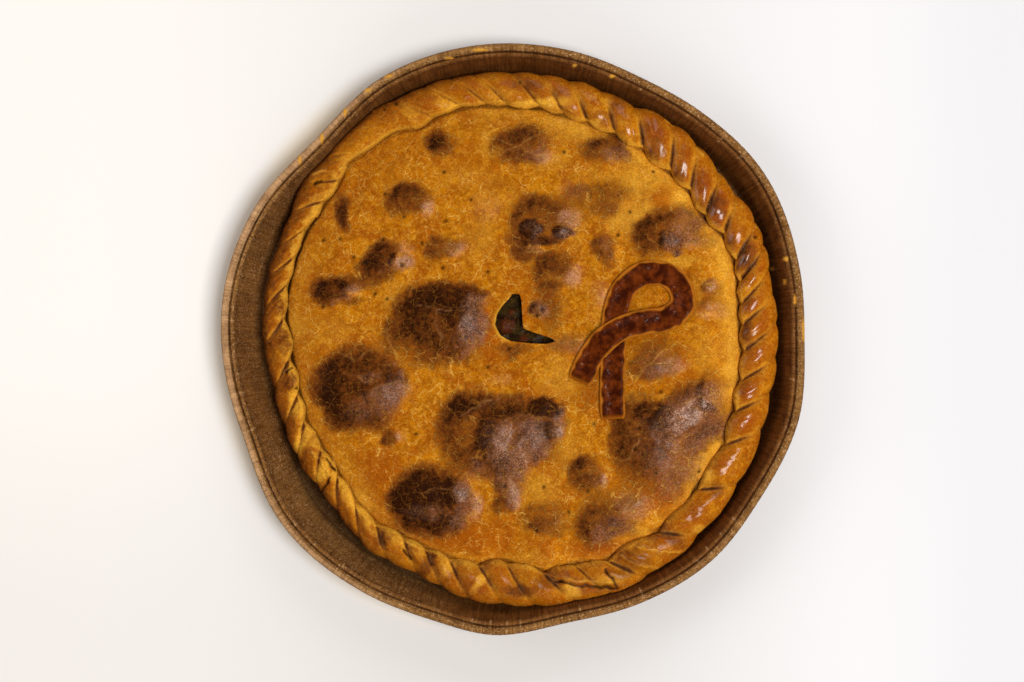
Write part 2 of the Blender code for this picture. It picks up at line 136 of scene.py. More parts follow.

# Browned patches: centre, half-widths, turn, strength and how softly the edge fades; the thin one at 514,
# 349 just under the vent's lower edge is painted shadow
BROWNED = (
    (441, 143, 14, 14, 0, .50, .45), (440, 147, 9, 8, 0, .25, .50), (524, 146, 30, 18, 8, .52, .45),
    (524, 137, 26, 9, 12, .25, .60), (518, 158, 18, 8, 0, .36, .60), (605, 150, 23, 15, 0, .48, .50),
    (602, 142, 20, 7, 0, .30, .60), (618, 149, 7, 7, 0, .22, .60), (410, 198, 24, 15, 0, .52, .50),
    (408, 191, 19, 6, 0, .30, .60), (404, 211, 16, 8, 0, .30, .60), (343, 213, 7, 17, 12, .55, .60),
    (445, 248, 18, 13, 5, .48, .50), (433, 255, 9, 7, 0, .22, .60), (383, 254, 18, 13, 20, .66, .45),
    (374, 269, 21, 10, -12, .62, .45), (387, 270, 14, 8, 0, .30, .50), (384, 252, 13, 7, 0, .30, .60),
    (330, 291, 17, 13, 10, .70, .45), (355, 283, 21, 6, -12, .50, .60), (345, 286, 10, 5, -10, .40, .60),
    (443, 322, 46, 36, -12, .74, .34), (447, 297, 38, 12, 4, .60, .50), (437, 304, 15, 13, 0, .45, .60),
    (470, 312, 15, 20, 0, .45, .50), (420, 318, 14, 12, 40, .18, .60), (400, 335, 14, 18, 0, .20, .60),
    (430, 340, 24, 13, 0, .24, .60), (476, 292, 12, 6, -20, .40, .60), (361, 388, 44, 40, -10, .66, .30),
    (325, 388, 13, 20, 0, .34, .60), (366, 362, 32, 12, 6, .32, .60), (350, 417, 25, 12, 10, .46, .50),
    (376, 424, 13, 8, 0, .46, .60), (397, 374, 12, 9, -30, .50, .60), (350, 390, 22, 12, 0, .20, .60),
    (391, 438, 8, 8, 0, .55, .60), (472, 428, 34, 38, -15, .52, .36), (500, 406, 52, 11, 0, .60, .45),
    (548, 408, 15, 10, -8, .95, .40), (520, 438, 42, 32, 0, .58, .30), (480, 456, 26, 13, 8, .42, .55),
    (459, 412, 18, 14, 0, .22, .60), (546, 430, 9, 10, 0, .60, .50), (537, 456, 8, 8, 0, .42, .60),
    (508, 480, 15, 24, 10, .42, .45), (502, 507, 13, 10, 0, .40, .50), (434, 500, 42, 34, 0, .74, .30),
    (429, 492, 29, 13, 8, .90, .55), (413, 508, 15, 10, 0, .40, .60), (430, 526, 36, 12, 0, .55, .50),
    (398, 503, 10, 20, 0, .14, .60), (448, 508, 12, 9, 0, .30, .60), (545, 216, 34, 19, -10, .50, .45),
    (545, 203, 26, 8, 5, .34, .60), (531, 230, 11, 9, 0, 1.0, .30), (563, 231, 11, 7, 0, .95, .30),
    (540, 240, 23, 6, 0, .80, .45), (515, 235, 9, 18, 0, .52, .55), (521, 254, 11, 8, 0, .50, .60),
    (556, 262, 17, 11, 0, .50, .50), (553, 277, 20, 12, 0, .42, .50), (547, 288, 15, 7, 0, .30, .60),
    (600, 200, 30, 15, -8, .34, .60), (603, 211, 13, 8, 0, .26, .60), (575, 188, 12, 6, 0, .24, .60),
    (620, 190, 13, 10, 0, .26, .60), (605, 248, 12, 13, 0, .48, .55), (668, 232, 37, 23, 15, .46, .40),
    (645, 241, 11, 18, 0, .32, .60), (664, 216, 30, 7, 12, .30, .60), (672, 240, 14, 10, 0, .58, .50),
    (678, 254, 5, 4, 0, .80, .60), (698, 222, 12, 8, 20, .24, .60), (713, 289, 13, 10, 0, .34, .60),
    (714, 306, 16, 9, 0, .24, .60), (537, 311, 10, 9, 0, .56, .50), (570, 346, 21, 9, 0, .36, .60),
    (660, 357, 29, 20, 8, .36, .55), (648, 360, 14, 14, 0, .20, .60), (640, 436, 30, 42, 6, .54, .28),
    (672, 446, 34, 42, 0, .46, .40), (648, 411, 15, 10, 0, .50, .50), (690, 412, 34, 20, 22, .48, .40),
    (700, 388, 28, 9, 8, .42, .60), (706, 405, 8, 5, -30, .95, .40), (706, 432, 18, 6, 22, .55, .60),
    (696, 446, 16, 7, 15, .36, .60), (650, 488, 40, 17, 8, .32, .60), (628, 455, 16, 24, 0, .20, .60),
    (585, 469, 22, 17, -15, .42, .50), (581, 461, 11, 7, 0, .32, .60), (589, 481, 14, 9, 0, .42, .50),
    (598, 524, 24, 21, 0, .50, .45), (591, 533, 11, 13, 0, .36, .60), (613, 526, 12, 10, 0, .26, .60),
    (600, 504, 22, 10, 0, .24, .60), (633, 509, 15, 11, 0, .30, .60), (543, 515, 24, 14, 0, .36, .55),
    (538, 525, 10, 8, 0, .30, .60), (507, 356, 9, 6, 0, .26, .60), (712, 372, 10, 6, 0, .22, .60),
    (590, 372, 14, 12, 0, .16, .60), (550, 312, 13, 24, 0, .36, .70), (514, 349, 20, 6, 0, .44, .60),
    (440, 361, 34, 8, 0, .28, .60), (482, 468, 20, 10, 0, .44, .60), (509, 498, 10, 12, 0, .25, .60),
    (534, 437, 18, 20, 0, .28, .60), (600, 549, 22, 6, 5, .20, .60), (652, 374, 22, 8, 0, .26, .60),
    (607, 262, 10, 7, 0, .32, .60), (545, 530, 18, 8, 0, .26, .60), (595, 491, 14, 8, 0, .24, .60),
    (533, 253, 12, 8, 0, .32, .60), (347, 299, 16, 6, 0, .50, .60), (371, 280, 18, 5, -8, .35, .60),
    (685, 412, 16, 8, 20, .20, .60), (672, 498, 16, 8, 30, .18, .60), (716, 424, 13, 15, 0, .30, .60),
    (605, 156, 14, 8, 0, .14, .60), (627, 158, 8, 7, 0, .36, .60), (530, 432, 14, 14, 0, .30, .60),
    (600, 392, 18, 12, 0, .16, .70), (508, 470, 14, 16, 0, .24, .60), (712, 430, 14, 12, 0, .34, .60),
    (728, 421, 8, 12, 0, .26, .60), (706, 240, 13, 10, 0, .26, .60), (388, 338, 10, 16, 0, .40, .60),
    (390, 390, 12, 16, 20, .34, .60), (442, 356, 34, 8, 0, .22, .60), (620, 527, 18, 10, -10, .54, .60),
    (493, 474, 12, 14, 0, .34, .60), (560, 425, 10, 12, 0, .38, .60), (550, 300, 16, 16, 0, .20, .70),
    (535, 262, 16, 10, 0, .24, .60), (585, 400, 22, 14, 0, .16, .70), (406, 264, 10, 7, 0, .46, .60),
    (610, 190, 16, 12, 0, .16, .60), (548, 527, 20, 10, 0, .20, .60), (648, 372, 22, 10, 0, .20, .60),
)

# Painted sheen on the blisters, the main light's greyish reflection painted into the colour where the coat
# is also glossier: centre, half-widths, turn and strength
PAINTED_SHEEN_PATCHES = (
    (428, 208, 7, 9, 0, .50), (455, 250, 10, 9, 0, .34), (401, 264, 12, 6, 0, .70),
    (406, 250, 6, 9, 0, .60), (352, 289, 14, 5, 14, .40), (475, 303, 13, 8, 20, .42),
    (468, 326, 7, 16, -20, .46), (380, 400, 30, 12, 25, .38), (368, 376, 11, 5, 0, .40),
    (462, 491, 10, 12, 0, .52), (475, 506, 5, 14, 0, .55), (516, 440, 31, 20, 8, .48),
    (512, 468, 16, 24, -10, .56), (514, 496, 9, 12, 0, .45), (556, 428, 8, 10, 0, .80),
    (531, 228, 8, 5, 0, .22), (563, 232, 9, 5, 0, .50), (533, 247, 9, 6, 0, .26),
    (570, 216, 11, 9, 0, .55), (573, 275, 9, 9, 0, .40), (541, 156, 13, 7, -20, .30),
    (612, 156, 11, 7, 0, .42), (606, 244, 6, 8, 0, .30), (670, 240, 8, 9, 0, .70),
    (692, 240, 13, 8, 0, .36), (681, 228, 13, 6, 0, .36), (712, 286, 7, 6, 0, .80),
    (713, 311, 13, 8, 0, .34), (688, 410, 32, 14, 28, 1.0), (666, 432, 14, 12, 0, .50),
    (675, 463, 24, 22, 0, .34), (633, 507, 17, 12, 0, .50), (666, 369, 19, 8, 18, .36),
    (571, 346, 21, 8, 0, .30), (501, 380, 10, 6, 0, .40), (603, 479, 4, 7, 0, .60),
    (537, 309, 6, 7, 0, .50), (484, 208, 12, 14, 0, .30), (600, 292, 9, 12, 0, .40),
    (400, 436, 4, 5, 0, .50), (425, 512, 20, 7, 0, .30), (575, 190, 14, 8, 0, .24),
    (622, 500, 10, 8, 0, .30), (480, 470, 10, 10, 0, .18), (655, 360, 14, 12, 0, .18),
)

# Redder baked areas: centre, half-widths and strength
TOASTED = (
    (663, 200, 14, 13, .60), (430, 534, 42, 14, .60), (502, 508, 14, 10, .50), (486, 335, 9, 28, .50),
    (530, 305, 26, 16, .50), (590, 372, 18, 18, .40), (604, 300, 12, 26, .40), (395, 490, 16, 30, .45),
    (470, 545, 40, 12, .40), (380, 470, 24, 24, .40), (345, 355, 26, 10, .35), (530, 545, 40, 14, .30),
    (640, 480, 40, 26, .30), (690, 385, 30, 12, .45), (320, 300, 16, 26, .20), (440, 160, 60, 24, .20),
    (500, 350, 18, 12, .35), (548, 400, 24, 12, .45), (700, 358, 22, 14, .25), (300, 370, 14, 30, .25),
    (670, 499, 24, 12, 1.0), (600, 550, 28, 10, 1.0), (480, 532, 30, 12, .55), (463, 548, 24, 7, .40),
)

# Fair patches that the oven left pale: centre, half-widths, turn and strength
FAIR = (
    (640, 180, 24, 16, 20, .70), (622, 220, 17, 14, 0, .60), (656, 169, 11, 11, -30, .70),
    (690, 204, 12, 8, -45, .50), (733, 370, 9, 26, 0, 1.0), (736, 325, 7, 18, 0, .90),
    (729, 285, 9, 16, 0, .60), (706, 466, 16, 12, 50, 1.0), (297, 402, 10, 15, 0, .95),
    (361, 502, 15, 10, -45, .85), (293, 328, 10, 18, 0, .65), (301, 270, 10, 16, 0, .35),
    (641, 534, 16, 6, -25, .85), (580, 118, 28, 8, -8, .60), (520, 111, 22, 6, 0, .45),
    (560, 380, 17, 20, 0, .55), (480, 240, 14, 17, 0, .40), (330, 330, 20, 14, 0, .30),
    (600, 312, 10, 16, 0, .35), (404, 296, 17, 12, 0, .40), (489, 143, 9, 12, 0, .40),
    (428, 139, 7, 10, 0, .30), (622, 137, 14, 8, -30, .45), (320, 440, 12, 12, -45, .25),
    (500, 200, 20, 12, 0, .20), (480, 180, 18, 10, 0, .20), (402, 537, 12, 7, -20, .35),
    (643, 214, 12, 14, 0, .95), (704, 462, 13, 9, 45, .80), (550, 130, 22, 9, 0, .35),
    (575, 230, 9, 14, 0, .30), (590, 175, 16, 8, 0, .25), (520, 560, 26, 6, 4, .40),
    (672, 264, 28, 6, 8, .75), (634, 404, 12, 8, 0, .80), (708, 354, 14, 22, 0, .35),
    (455, 404, 9, 12, 0, .30), (542, 490, 16, 14, 0, .50), (628, 499, 8, 7, 0, .45),
    (553, 160, 18, 10, 0, .35), (700, 290, 8, 14, 0, .30), (450, 425, 8, 20, 0, .30),
    (565, 448, 12, 22, 0, .45), (455, 178, 22, 8, 0, .25), (395, 187, 14, 6, 0, .30),
    (322, 288, 9, 10, 0, .20),
)

# Dark glossy lobes of the rope: centre, half-widths and strength
MAHOGANY = (
    (655, 128, 9, 13, .45), (683, 150, 8, 13, .35), (704, 183, 8, 12, .45), (719, 208, 8, 14, .95),
    (749, 254, 8, 13, .95), (600, 587, 24, 8, .35), (556, 578, 18, 8, .30), (662, 534, 14, 9, .45),
    (524, 84, 14, 7, .40), (700, 514, 10, 10, .25), (472, 588, 14, 8, .30), (560, 92, 10, 8, .30),
    (750, 306, 7, 8, .35), (748, 392, 7, 9, .25), (620, 109, 8, 9, .30), (440, 574, 14, 7, .25),
)

# Pale torn or stretched places of the rope: centre, half-widths, turn and strength
ROPE_FAIR = (
    (297, 402, 8, 14, -10, .95), (302, 440, 7, 14, -30, .90), (322, 472, 6, 14, -25, .90),
    (296, 452, 6, 9, -25, .5), (341, 478, 9, 9, 0, .60), (358, 503, 17, 9, -48, 1.0),
    (386, 524, 12, 6, -28, .80), (400, 541, 8, 6, 0, .60), (292, 360, 5, 9, 0, .65),
    (538, 104, 32, 5, 7, 1.0), (455, 107, 20, 6, -12, .60), (500, 95, 18, 6, 10, .25),
    (592, 124, 13, 5, 28, .65), (572, 591, 9, 6, -40, .75), (480, 582, 4, 12, -35, .75),
    (448, 567, 5, 11, -30, .65), (540, 566, 16, 5, 0, .50), (702, 532, 9, 6, -30, .60),
    (610, 580, 14, 6, 0, .55), (703, 471, 7, 12, 40, .90), (735, 396, 5, 12, 0, .70),
    (410, 113, 10, 5, -30, .35),
)

# Browner places of the rope, in the same form
ROPE_BROWN = (
    (657, 150, 8, 12, -25, .34), (680, 175, 7, 11, -25, .42), (705, 205, 6, 10, -25, .32),
    (730, 245, 6, 10, -20, .34), (743, 267, 6, 9, -20, .38), (747, 335, 6, 12, 0, .40),
    (717, 490, 8, 8, 0, .32), (677, 541, 11, 7, -25, .36), (636, 560, 18, 8, -15, .32),
    (520, 592, 14, 6, 0, .50), (427, 565, 6, 12, -30, .40), (383, 540, 7, 10, -30, .36),
    (285, 341, 7, 12, 0, .34), (290, 383, 6, 9, 0, .34), (280, 306, 6, 9, 0, .30),
    (620, 100, 10, 7, 30, .20), (530, 85, 14, 6, 0, .20), (545, 584, 12, 6, 0, .20),
    (620, 574, 14, 6, 0, .30), (603, 118, 8, 7, 0, .30),
)

# Small burnt holes in the crust, in pixels
PITS = (
    (471, 200), (404, 217), (446, 221), (385, 194), (383, 240), (354, 257), (365, 262), (422, 243),
    (443, 268), (488, 272), (387, 299), (375, 294), (414, 291), (323, 307), (341, 284), (443, 313),
    (488, 367), (509, 349), (416, 434), (635, 449), (656, 473), (580, 468), (588, 491), (569, 512),
    (639, 428), (594, 424), (700, 472), (544, 487), (588, 374), (661, 392), (564, 152), (630, 212),
    (533, 306), (542, 309), (537, 316), (618, 235), (654, 171), (505, 486), (402, 265), (340, 239),
    (323, 240), (444, 172), (537, 531),
)

# Burnt dots of the rope: place and size in pixels
BURNT_DOTS = ((396, 103, 4), (384, 109, 3), (756, 237, 4), (520, 82, 3), (604, 165, 2), (569, 564, 2))

# Splits and raised pale edges of the rope, each a run of pixels
ROPE_SPLITS = (
    ((556, 582), (572, 585), (588, 587), (604, 588), (618, 590)), ((606, 570), (612, 578), (617, 588)),
    ((296, 389), (305, 386), (316, 383)), ((326, 459), (333, 468), (340, 479)), ((314, 184), (320, 181)),
    ((330, 478), (324, 487), (320, 494)), ((284, 372), (290, 368), (294, 362)), ((404, 551), (410, 560)),
)
ROPE_RIDGES = (
    ((312, 173), (320, 170), (329, 172), (337, 178), (340, 186)), ((340, 170), (352, 158), (368, 148)),
    ((368, 148), (382, 138), (396, 131)), ((352, 505), (362, 515), (374, 526)), ((404, 541), (426, 551)),
    ((622, 556), (640, 566), (660, 571)), ((640, 546), (662, 552), (684, 553)),
    ((293, 380), (298, 396), (302, 412)),
    ((484, 103), (500, 101), (520, 102), (540, 104), (558, 107), (574, 112)),
    ((312, 452), (322, 463), (330, 478)), ((556, 577), (572, 580), (588, 582), (604, 582), (614, 583)),
    ((667, 119), (675, 123)), ((697, 147), (704, 154)), ((297, 392), (306, 389), (316, 386)),
    ((329, 457), (336, 466), (343, 477)), ((290, 352), (291, 364), (288, 372)),
)

# Gloss of the rope against the angle
ROPE_GLOSS = (
    (0, .70), (30, .75), (50, .75), (65, .6), (78, .35), (92, .15), (115, .05), (180, .0), (250, .05),
    (270, .12), (290, .20), (305, .25), (320, .40), (335, .60), (348, .70),
)

# Raised pale wrinkles of the skin, each a run of pixels
WRINKLES = (
    ((335, 331), (352, 330), (364, 333)), ((362, 337), (374, 333), (386, 332)),
    ((410, 412), (424, 409), (434, 402)), ((440, 396), (452, 392), (462, 388)),
    ((388, 330), (392, 345), (398, 357)), ((340, 356), (352, 358), (372, 352)),
    ((462, 416), (480, 407), (492, 400)), ((370, 391), (390, 385), (402, 379)),
    ((498, 420), (520, 415), (545, 417), (556, 424), (566, 430)),
    ((545, 417), (552, 428), (556, 440), (566, 444)), ((508, 303), (502, 312), (498, 322)),
    ((682, 402), (700, 397), (714, 401), (722, 412)), ((680, 440), (692, 432), (706, 428), (722, 424)),
    ((668, 452), (684, 452), (700, 447)), ((458, 480), (466, 474), (474, 486), (478, 502)),
    ((560, 226), (568, 224), (576, 226)), ((515, 246), (527, 252), (538, 255)),
    ((527, 487), (544, 484), (560, 481)), ((603, 462), (611, 468), (603, 476)),
    ((690, 357), (706, 358), (722, 352)), ((606, 470), (606, 480), (600, 488)),
    ((360, 200), (372, 197), (384, 199)), ((404, 168), (414, 167), (422, 165)),
    ((480, 139), (490, 133), (500, 129)), ((590, 428), (586, 440), (592, 448)),
    ((340, 178), (352, 164), (368, 152), (384, 142), (398, 133)), ((424, 127), (440, 123), (456, 121)),
    ((528, 304), (536, 301), (545, 306)), ((529, 316), (538, 319), (547, 312)),
    ((517, 147), (527, 140), (540, 134)), ((517, 147), (505, 143), (493, 138)), ((517, 147), (516, 161)),
    ((517, 147), (503, 153), (492, 156)), ((517, 147), (532, 152), (545, 154)),
    ((652, 362), (664, 352), (676, 344)), ((652, 362), (640, 372), (634, 384)), ((652, 362), (668, 366)),
    ((620, 462), (632, 452), (640, 440)), ((655, 476), (668, 470), (684, 470)),
    ((420, 492), (436, 486), (452, 490)), ((345, 372), (360, 378), (378, 380)),
    ((420, 306), (436, 312), (452, 310)), ((436, 312), (438, 328), (446, 340)),
)

# Outline of the open vent, in pixels, and the point of it that stands for its middle
VENT = (
    (513, 293), (521, 295), (522, 312), (523, 328), (532, 332), (545, 336), (557, 341), (546, 344),
    (528, 343), (510, 341), (500, 335), (495, 325), (497, 314), (503, 305), (509, 299),
)
VENT_MIDDLE = 5

# The vent's pale lip fades out between these two pixel columns
LIP_FADE = (514, 503)

# Pieces of octopus that show in the vent: place and radius in pixels
OCTOPUS_PIECES = ((506, 326, 8), (524, 339, 4), (511, 312, 3))

# Centre line of the dough ribbon, in pixels: up the first tail, round the loop, down the second
RIBBON = (
    (613, 419), (612, 400), (612.5, 370), (613.5, 338), (616, 310), (625, 288), (643, 274), (663, 274),
    (680, 288), (682, 305), (668, 318), (645, 322), (622, 328), (604, 340), (590, 358), (579, 382),
)

# Egg wash that ran onto the paper: centre x, y, half-widths in pixels
WASH_STAINS = (
    (804, 330, 3, 13), (786, 259, 3, 3), (795, 300, 2, 6), (783, 90, 3, 2), (612, 76, 4, 2),
    (575, 65, 3, 1.5), (449, 58, 5, 1.5), (389, 76, 5, 2), (368, 90, 5, 2), (300, 160, 2, 7),
    (322, 138, 2, 7), (776, 268, 3, 2), (786, 282, 1.5, 4), (480, 50, 9, 1.5), (345, 112, 2, 5),
)

# Paper mould outline: angle and radius in metres, a hair inside the solid's in places
TRAY_OUTLINE = (
    (0, 0.1697), (14, 0.1720), (35, 0.1754), (50, 0.1722), (63, 0.1699), (78, 0.1716), (97, 0.17265),
    (116, 0.1708), (135, 0.1638), (152, 0.1687), (171, 0.1706), (186, 0.1687), (200, 0.1667),
    (218, 0.1718), (239, 0.1707), (254, 0.1696), (266, 0.1720), (281, 0.1675), (296, 0.1702),
    (312, 0.1728), (327, 0.1710), (345, 0.1726),
)

# Middle of the mould's outline
TRAY_SHIFT = (0.00004, -0.00039)

# Lean of the mould's wall in degrees against the angle
WALL_FLARE = ((0, 17), (60, 17), (120, 17), (150, 19), (175, 25), (200, 26), (225, 22), (250, 18), (300, 17))

# How tan the rolled rim is against the angle; the paler left side is painted light on the flank that turns
# from the main light
RIM_TAN_AND_LIGHT = (
    (0, 1.0), (25, .85), (50, .75), (75, .9), (100, 1.0), (130, 1.1), (155, 1.45), (175, 1.3),
    (195, 1.0), (215, .95), (240, .90), (262, .75), (285, .85), (310, .9), (340, 1.0),
)

# How tan the mould's floor is beside the rope against the angle; where it is low the floor is painted darker
# as the pie's shadow and the wall's foot gets a painted shadow line
FLOOR_TAN_AND_SHADOW = ((0, 1), (150, 1), (180, .9), (198, .3), (212, 0), (262, 0), (285, .5), (320, 1))

# Angles of the pale scuffs across the rolled rim
RIM_SCUFFS = (
    39, 44, 52, 63, 88, 131, 166, 172, 176, 178.5, 183, 187, 191, 196, 199, 206, 214, 219, 226, 233, 247,
    262, 265.6, 268.9, 271.6, 284, 297, 310, 313, 317, 321, 338, 352,
)

# Height of the lid at the seam, how much higher its middle stands, and the mean radius of the seam
LID_EDGE = 0.0240
LID_DOME = 0.0064
SEAM_RADIUS = 0.133

# Bottom dough: height of its underside, thickness of its floor, top and widest height of the rope
DOUGH_LOW = 0.0016
DOUGH_FLOOR = 0.0032
ROPE_TOP = 0.0280
ROPE_WAIST = 0.0195

# Half-widths of the marks in the dough, and how high or deep they are
WRINKLE_WIDTH, WRINKLE_HEIGHT = 0.00048, 0.00035
PIT_WIDTH, PIT_DEPTH = 0.0010, 0.0009
SPLIT_WIDTH, SPLIT_DEPTH = 0.0007, 0.0018
RIDGE_WIDTH, RIDGE_HEIGHT = 0.0010, 0.0009
LIP_WIDTH, LIP_HEIGHT = 0.0011, 0.0007
CRACK_DEPTH = 0.0012
FURROW_DEPTH = 0.0038
FOLD_DEPTH = 0.0036

# Paper mould: thickness, width of the rolled bead, inset of the shoulder, and inset of the floor's middle
PAPER = 0.0012
BEAD = 0.0047
SHOULDER = BEAD + 0.0036
FLOOR_INSET = 0.1400

# Inner wall of the mould: how far its top lies inside the outline, height of its top, least gap to the dough
WALL_INSET = 0.0086
WALL_TOP = 0.027
PAPER_GAP = 0.0010

# Vertices closer than this are one
MERGE_DISTANCE = 1e-6

# Quads across the plain underside of the lid, and sides of the ribbon's bar
UNDERSIDE_CELLS = 64
RIBBON_SIDES = 44

# Stage: half the floor's size, what the lights aim at, the height at which a pixel is PIXEL wide, and the
# camera's height over it
FLOOR_HALF = 3.0
LIGHT_TARGET = (0, 0, 0.02)
SCALE_HEIGHT = 0.029
CAMERA_HEIGHT = 1.15
SENSOR_WIDTH = 36.0

# Faint light from all round
WORLD_COLOUR = (1.0, 0.99, 0.98, 1)
WORLD_STRENGTH = 0.07

# Soft lights: name, power, size, place and colour
LIGHTS = (
    ("key_softbox", 80.0, (1.15, 1.15), (0.98, -0.33, 2.88), (1.0, 0.99, 0.97)),
    ("left_fill", 16.0, (1.4, 1.4), (-1.90, 0.30, 1.25), (1, 1, 1)),
    ("top_fill", 13.0, (1.6, 1.2), (0.20, 2.00, 1.40), (1, 1, 1)),
    ("front_fill", 9.0, (1.6, 1.2), (-0.20, -2.00, 1.40), (1, 1, 1)),
)


def srgb(red, green, blue):
    """Linear colour of an 8-bit display colour."""
    return tuple(c / 12.92 if c <= 0.04045 else ((c + 0.055) / 1.055) ** 2.4
                 for c in (red / 255, green / 255, blue / 255))


def spot(px, py):
    """Place in metres of a pixel of the photograph."""
    return (px - ORIGIN_PIXEL[0]) * PIXEL, (ORIGIN_PIXEL[1] - py) * PIXEL


PIE_CENTRE = spot(*PIE_PIXEL)

# The way the main light comes from, seen from above
LIGHT_ANGLE = math.radians(-18)
LIGHT_WAY = (math.cos(LIGHT_ANGLE), math.sin(LIGHT_ANGLE))

# Colours of the crust and its marks, its painted sheen and the painted shade of its cracks, and how much
# brighter its painted lit side is
WHITE = srgb(255, 255, 255)
PALE_DOUGH = srgb(234, 172, 54)
TORN_SKIN = srgb(232, 174, 78)
GOLDEN_CRUST = srgb(195, 119, 8)
PAINTED_SHEEN_COLOUR = srgb(202, 152, 124)
TORN_RIDGE = srgb(190, 128, 74)
TORN_BROWN = srgb(160, 100, 34)
TOASTED_CRUST = srgb(160, 76, 5)
AMBER_CRUST = srgb(146, 76, 4)
BROWN_CRUST = srgb(114, 58, 14)
DARK_CRUST = srgb(45, 17, 3)
BURN_AND_CRACK_SHADE = srgb(26, 10, 3)
CRUST_SPECKS = srgb(216, 208, 196)
LIT_GAIN = (1.45, 1.45, 1.5)

# Colours of the paper, the paler crest colour that paints light on the rim's left, the painted shade of its
# creases, and the shades that its ribs, clouds and fibres multiply it by
RIM_PAINTED_LIGHT = srgb(236, 188, 140)
RIM_TAN_PAPER = srgb(168, 120, 62)
WALL_PAPER = srgb(124, 71, 27)
SCUFFED_PAPER = srgb(208, 162, 112)
STAINED_PAPER = srgb(206, 146, 52)
CREASE_SHADE = srgb(30, 16, 8)
RIB_SHADE = srgb(208, 202, 196)
CLOUD_SHADE = srgb(205, 196, 188)
FIBRE_SHADE = srgb(215, 210, 206)

# Colours of the filling, the ribbon and the floor
STEW_DARK = srgb(34, 18, 6)
STEW_LIGHT = srgb(58, 44, 16)
OCTOPUS_SKIN = srgb(84, 37, 14)
ONION_STRANDS = srgb(128, 84, 34)
RIBBON_GLAZE = srgb(52, 14, 2)
RIBBON_AMBER = srgb(108, 45, 9)
RIBBON_EDGE = srgb(178, 104, 26)
RIBBON_END = srgb(176, 98, 18)
FLOOR_PALE = srgb(241, 236, 230)
FLOOR_FRONT = srgb(229, 224, 219)
FLOOR_RIGHT = srgb(235, 233, 234)
FLOOR_FAR_RIGHT = srgb(227, 226, 228)
FLOOR_MIDDLE = srgb(212, 207, 203)
PAINTED_WARM_BOUNCE = srgb(251, 231, 200)


def smooth(low, high, value):
    """Soft step from 0 at low to 1 at high."""
    t = np.clip((value - low) / (high - low), 0.0, 1.0)
    return t * t * (3 - 2 * t)


def fading(distance, width):
    """1 at no distance, fading softly to 0 over a few widths."""
    return np.exp(-(distance / width) ** 2)


def noise(x, y, size, seed):
    """Smooth value noise from -1 to 1, its features about size metres across."""
    rng = np.random.default_rng(seed)
    table = rng.uniform(-1, 1, (128, 128))
    turn = rng.uniform(0, math.tau)
    u = (x * math.cos(turn) + y * math.sin(turn)) / size + 517.3
    v = (y * math.cos(turn) - x * math.sin(turn)) / size + 731.9
    iu, iv = np.floor(u).astype(int), np.floor(v).astype(int)
    fu, fv = u - iu, v - iv
    fu, fv = fu * fu * (3 - 2 * fu), fv * fv * (3 - 2 * fv)
    low = table[iu % 128, iv % 128] * (1 - fu) + table[(iu + 1) % 128, iv % 128] * fu
    high = table[iu % 128, (iv + 1) % 128] * (1 - fu) + table[(iu + 1) % 128, (iv + 1) % 128] * fu
    return low * (1 - fv) + high * fv


def noise_along(value, size, seed):
    """Noise that follows one value only."""
    return noise(value, value * 0, size, seed)


def rough_noise(x, y, size, seed, octaves=3):
    """Noise with finer and finer layers."""
    total, weight = 0.0, 0.0
    for k in range(octaves):
        total = total + noise(x, y, size / 2 ** k, seed + k) * 0.55 ** k
        weight += 0.55 ** k
    return total / weight


def hermite(knots, values, slopes, at, i):
    """Smooth curve through the knots, at places that lie in the spans i."""
    step = knots[i + 1] - knots[i]
    t = (at - knots[i]) / step
    return (values[i] * (1 + 2 * t) * (1 - t) ** 2 + slopes[i] * step * t * (1 - t) ** 2
            + values[i + 1] * t * t * (3 - 2 * t) + slopes[i + 1] * step * t * t * (t - 1))


def spline(knots, values, at):
    """Smooth open curve of values against knots."""
    i = np.clip(np.searchsorted(knots, at, side="right") - 1, 0, len(knots) - 2)
    return hermite(knots, values, np.gradient(values, knots), at, i)


def closed_curve(points, degrees):
    """Smooth closed curve of a value against the angle."""
    pairs = sorted((a % 360.0, v) for a, v in points)
    angles = np.array([a for a, _ in pairs])
    values = np.array([v for _, v in pairs])
    angles = np.concatenate([angles[-3:] - 360, angles, angles[:3] + 360])
    values = np.concatenate([values[-3:], values, values[:3]])
    slopes = np.gradient(values, angles)
    turn = np.mod(degrees, 360.0)
    return hermite(angles, values, slopes, turn, np.searchsorted(angles, turn, side="right") - 1)


def around_pie(points):
    """Angle and radius about the middle of the pie of a list of pixels."""
    found = []
    for px, py in points:
        x, y = spot(px, py)
        dx, dy = x - PIE_CENTRE[0], y - PIE_CENTRE[1]
        found.append((math.degrees(math.atan2(dy, dx)), math.hypot(dx, dy)))
    return found


def thinned(points, least=1.6):
    """Leaves out points whose angle is too close to the one before."""
    kept = []
    for a, v in sorted((a % 360.0, v) for a, v in points):
        if not kept or a - kept[-1][0] > least:
            kept.append((a, v))
    return kept


SEAM_CURVE = thinned(around_pie(SEAM))
RIM_CURVE = thinned(around_pie(RIM_EDGE))


def line_distance(x, y, points):
    """Distance from each place to a run of points, in metres."""
    nearest = np.full(x.shape, 1e9)
    for (ax, ay), (bx, by) in zip(points, points[1:]):
        dx, dy = bx - ax, by - ay
        t = np.clip(((x - ax) * dx + (y - ay) * dy) / (dx * dx + dy * dy), 0, 1)
        nearest = np.minimum(nearest, np.hypot(x - ax - t * dx, y - ay - t * dy))
    return nearest


def inside(x, y, points):
    """Which places lie inside a closed outline."""
    found = np.zeros(x.shape, bool)
    for (ax, ay), (bx, by) in zip(points, points[1:] + points[:1]):
        if ay == by:
            continue
        crosses = (ay > y) != (by > y)
        found ^= crosses & (x < (bx - ax) * (y - ay) / (by - ay) + ax)
    return found


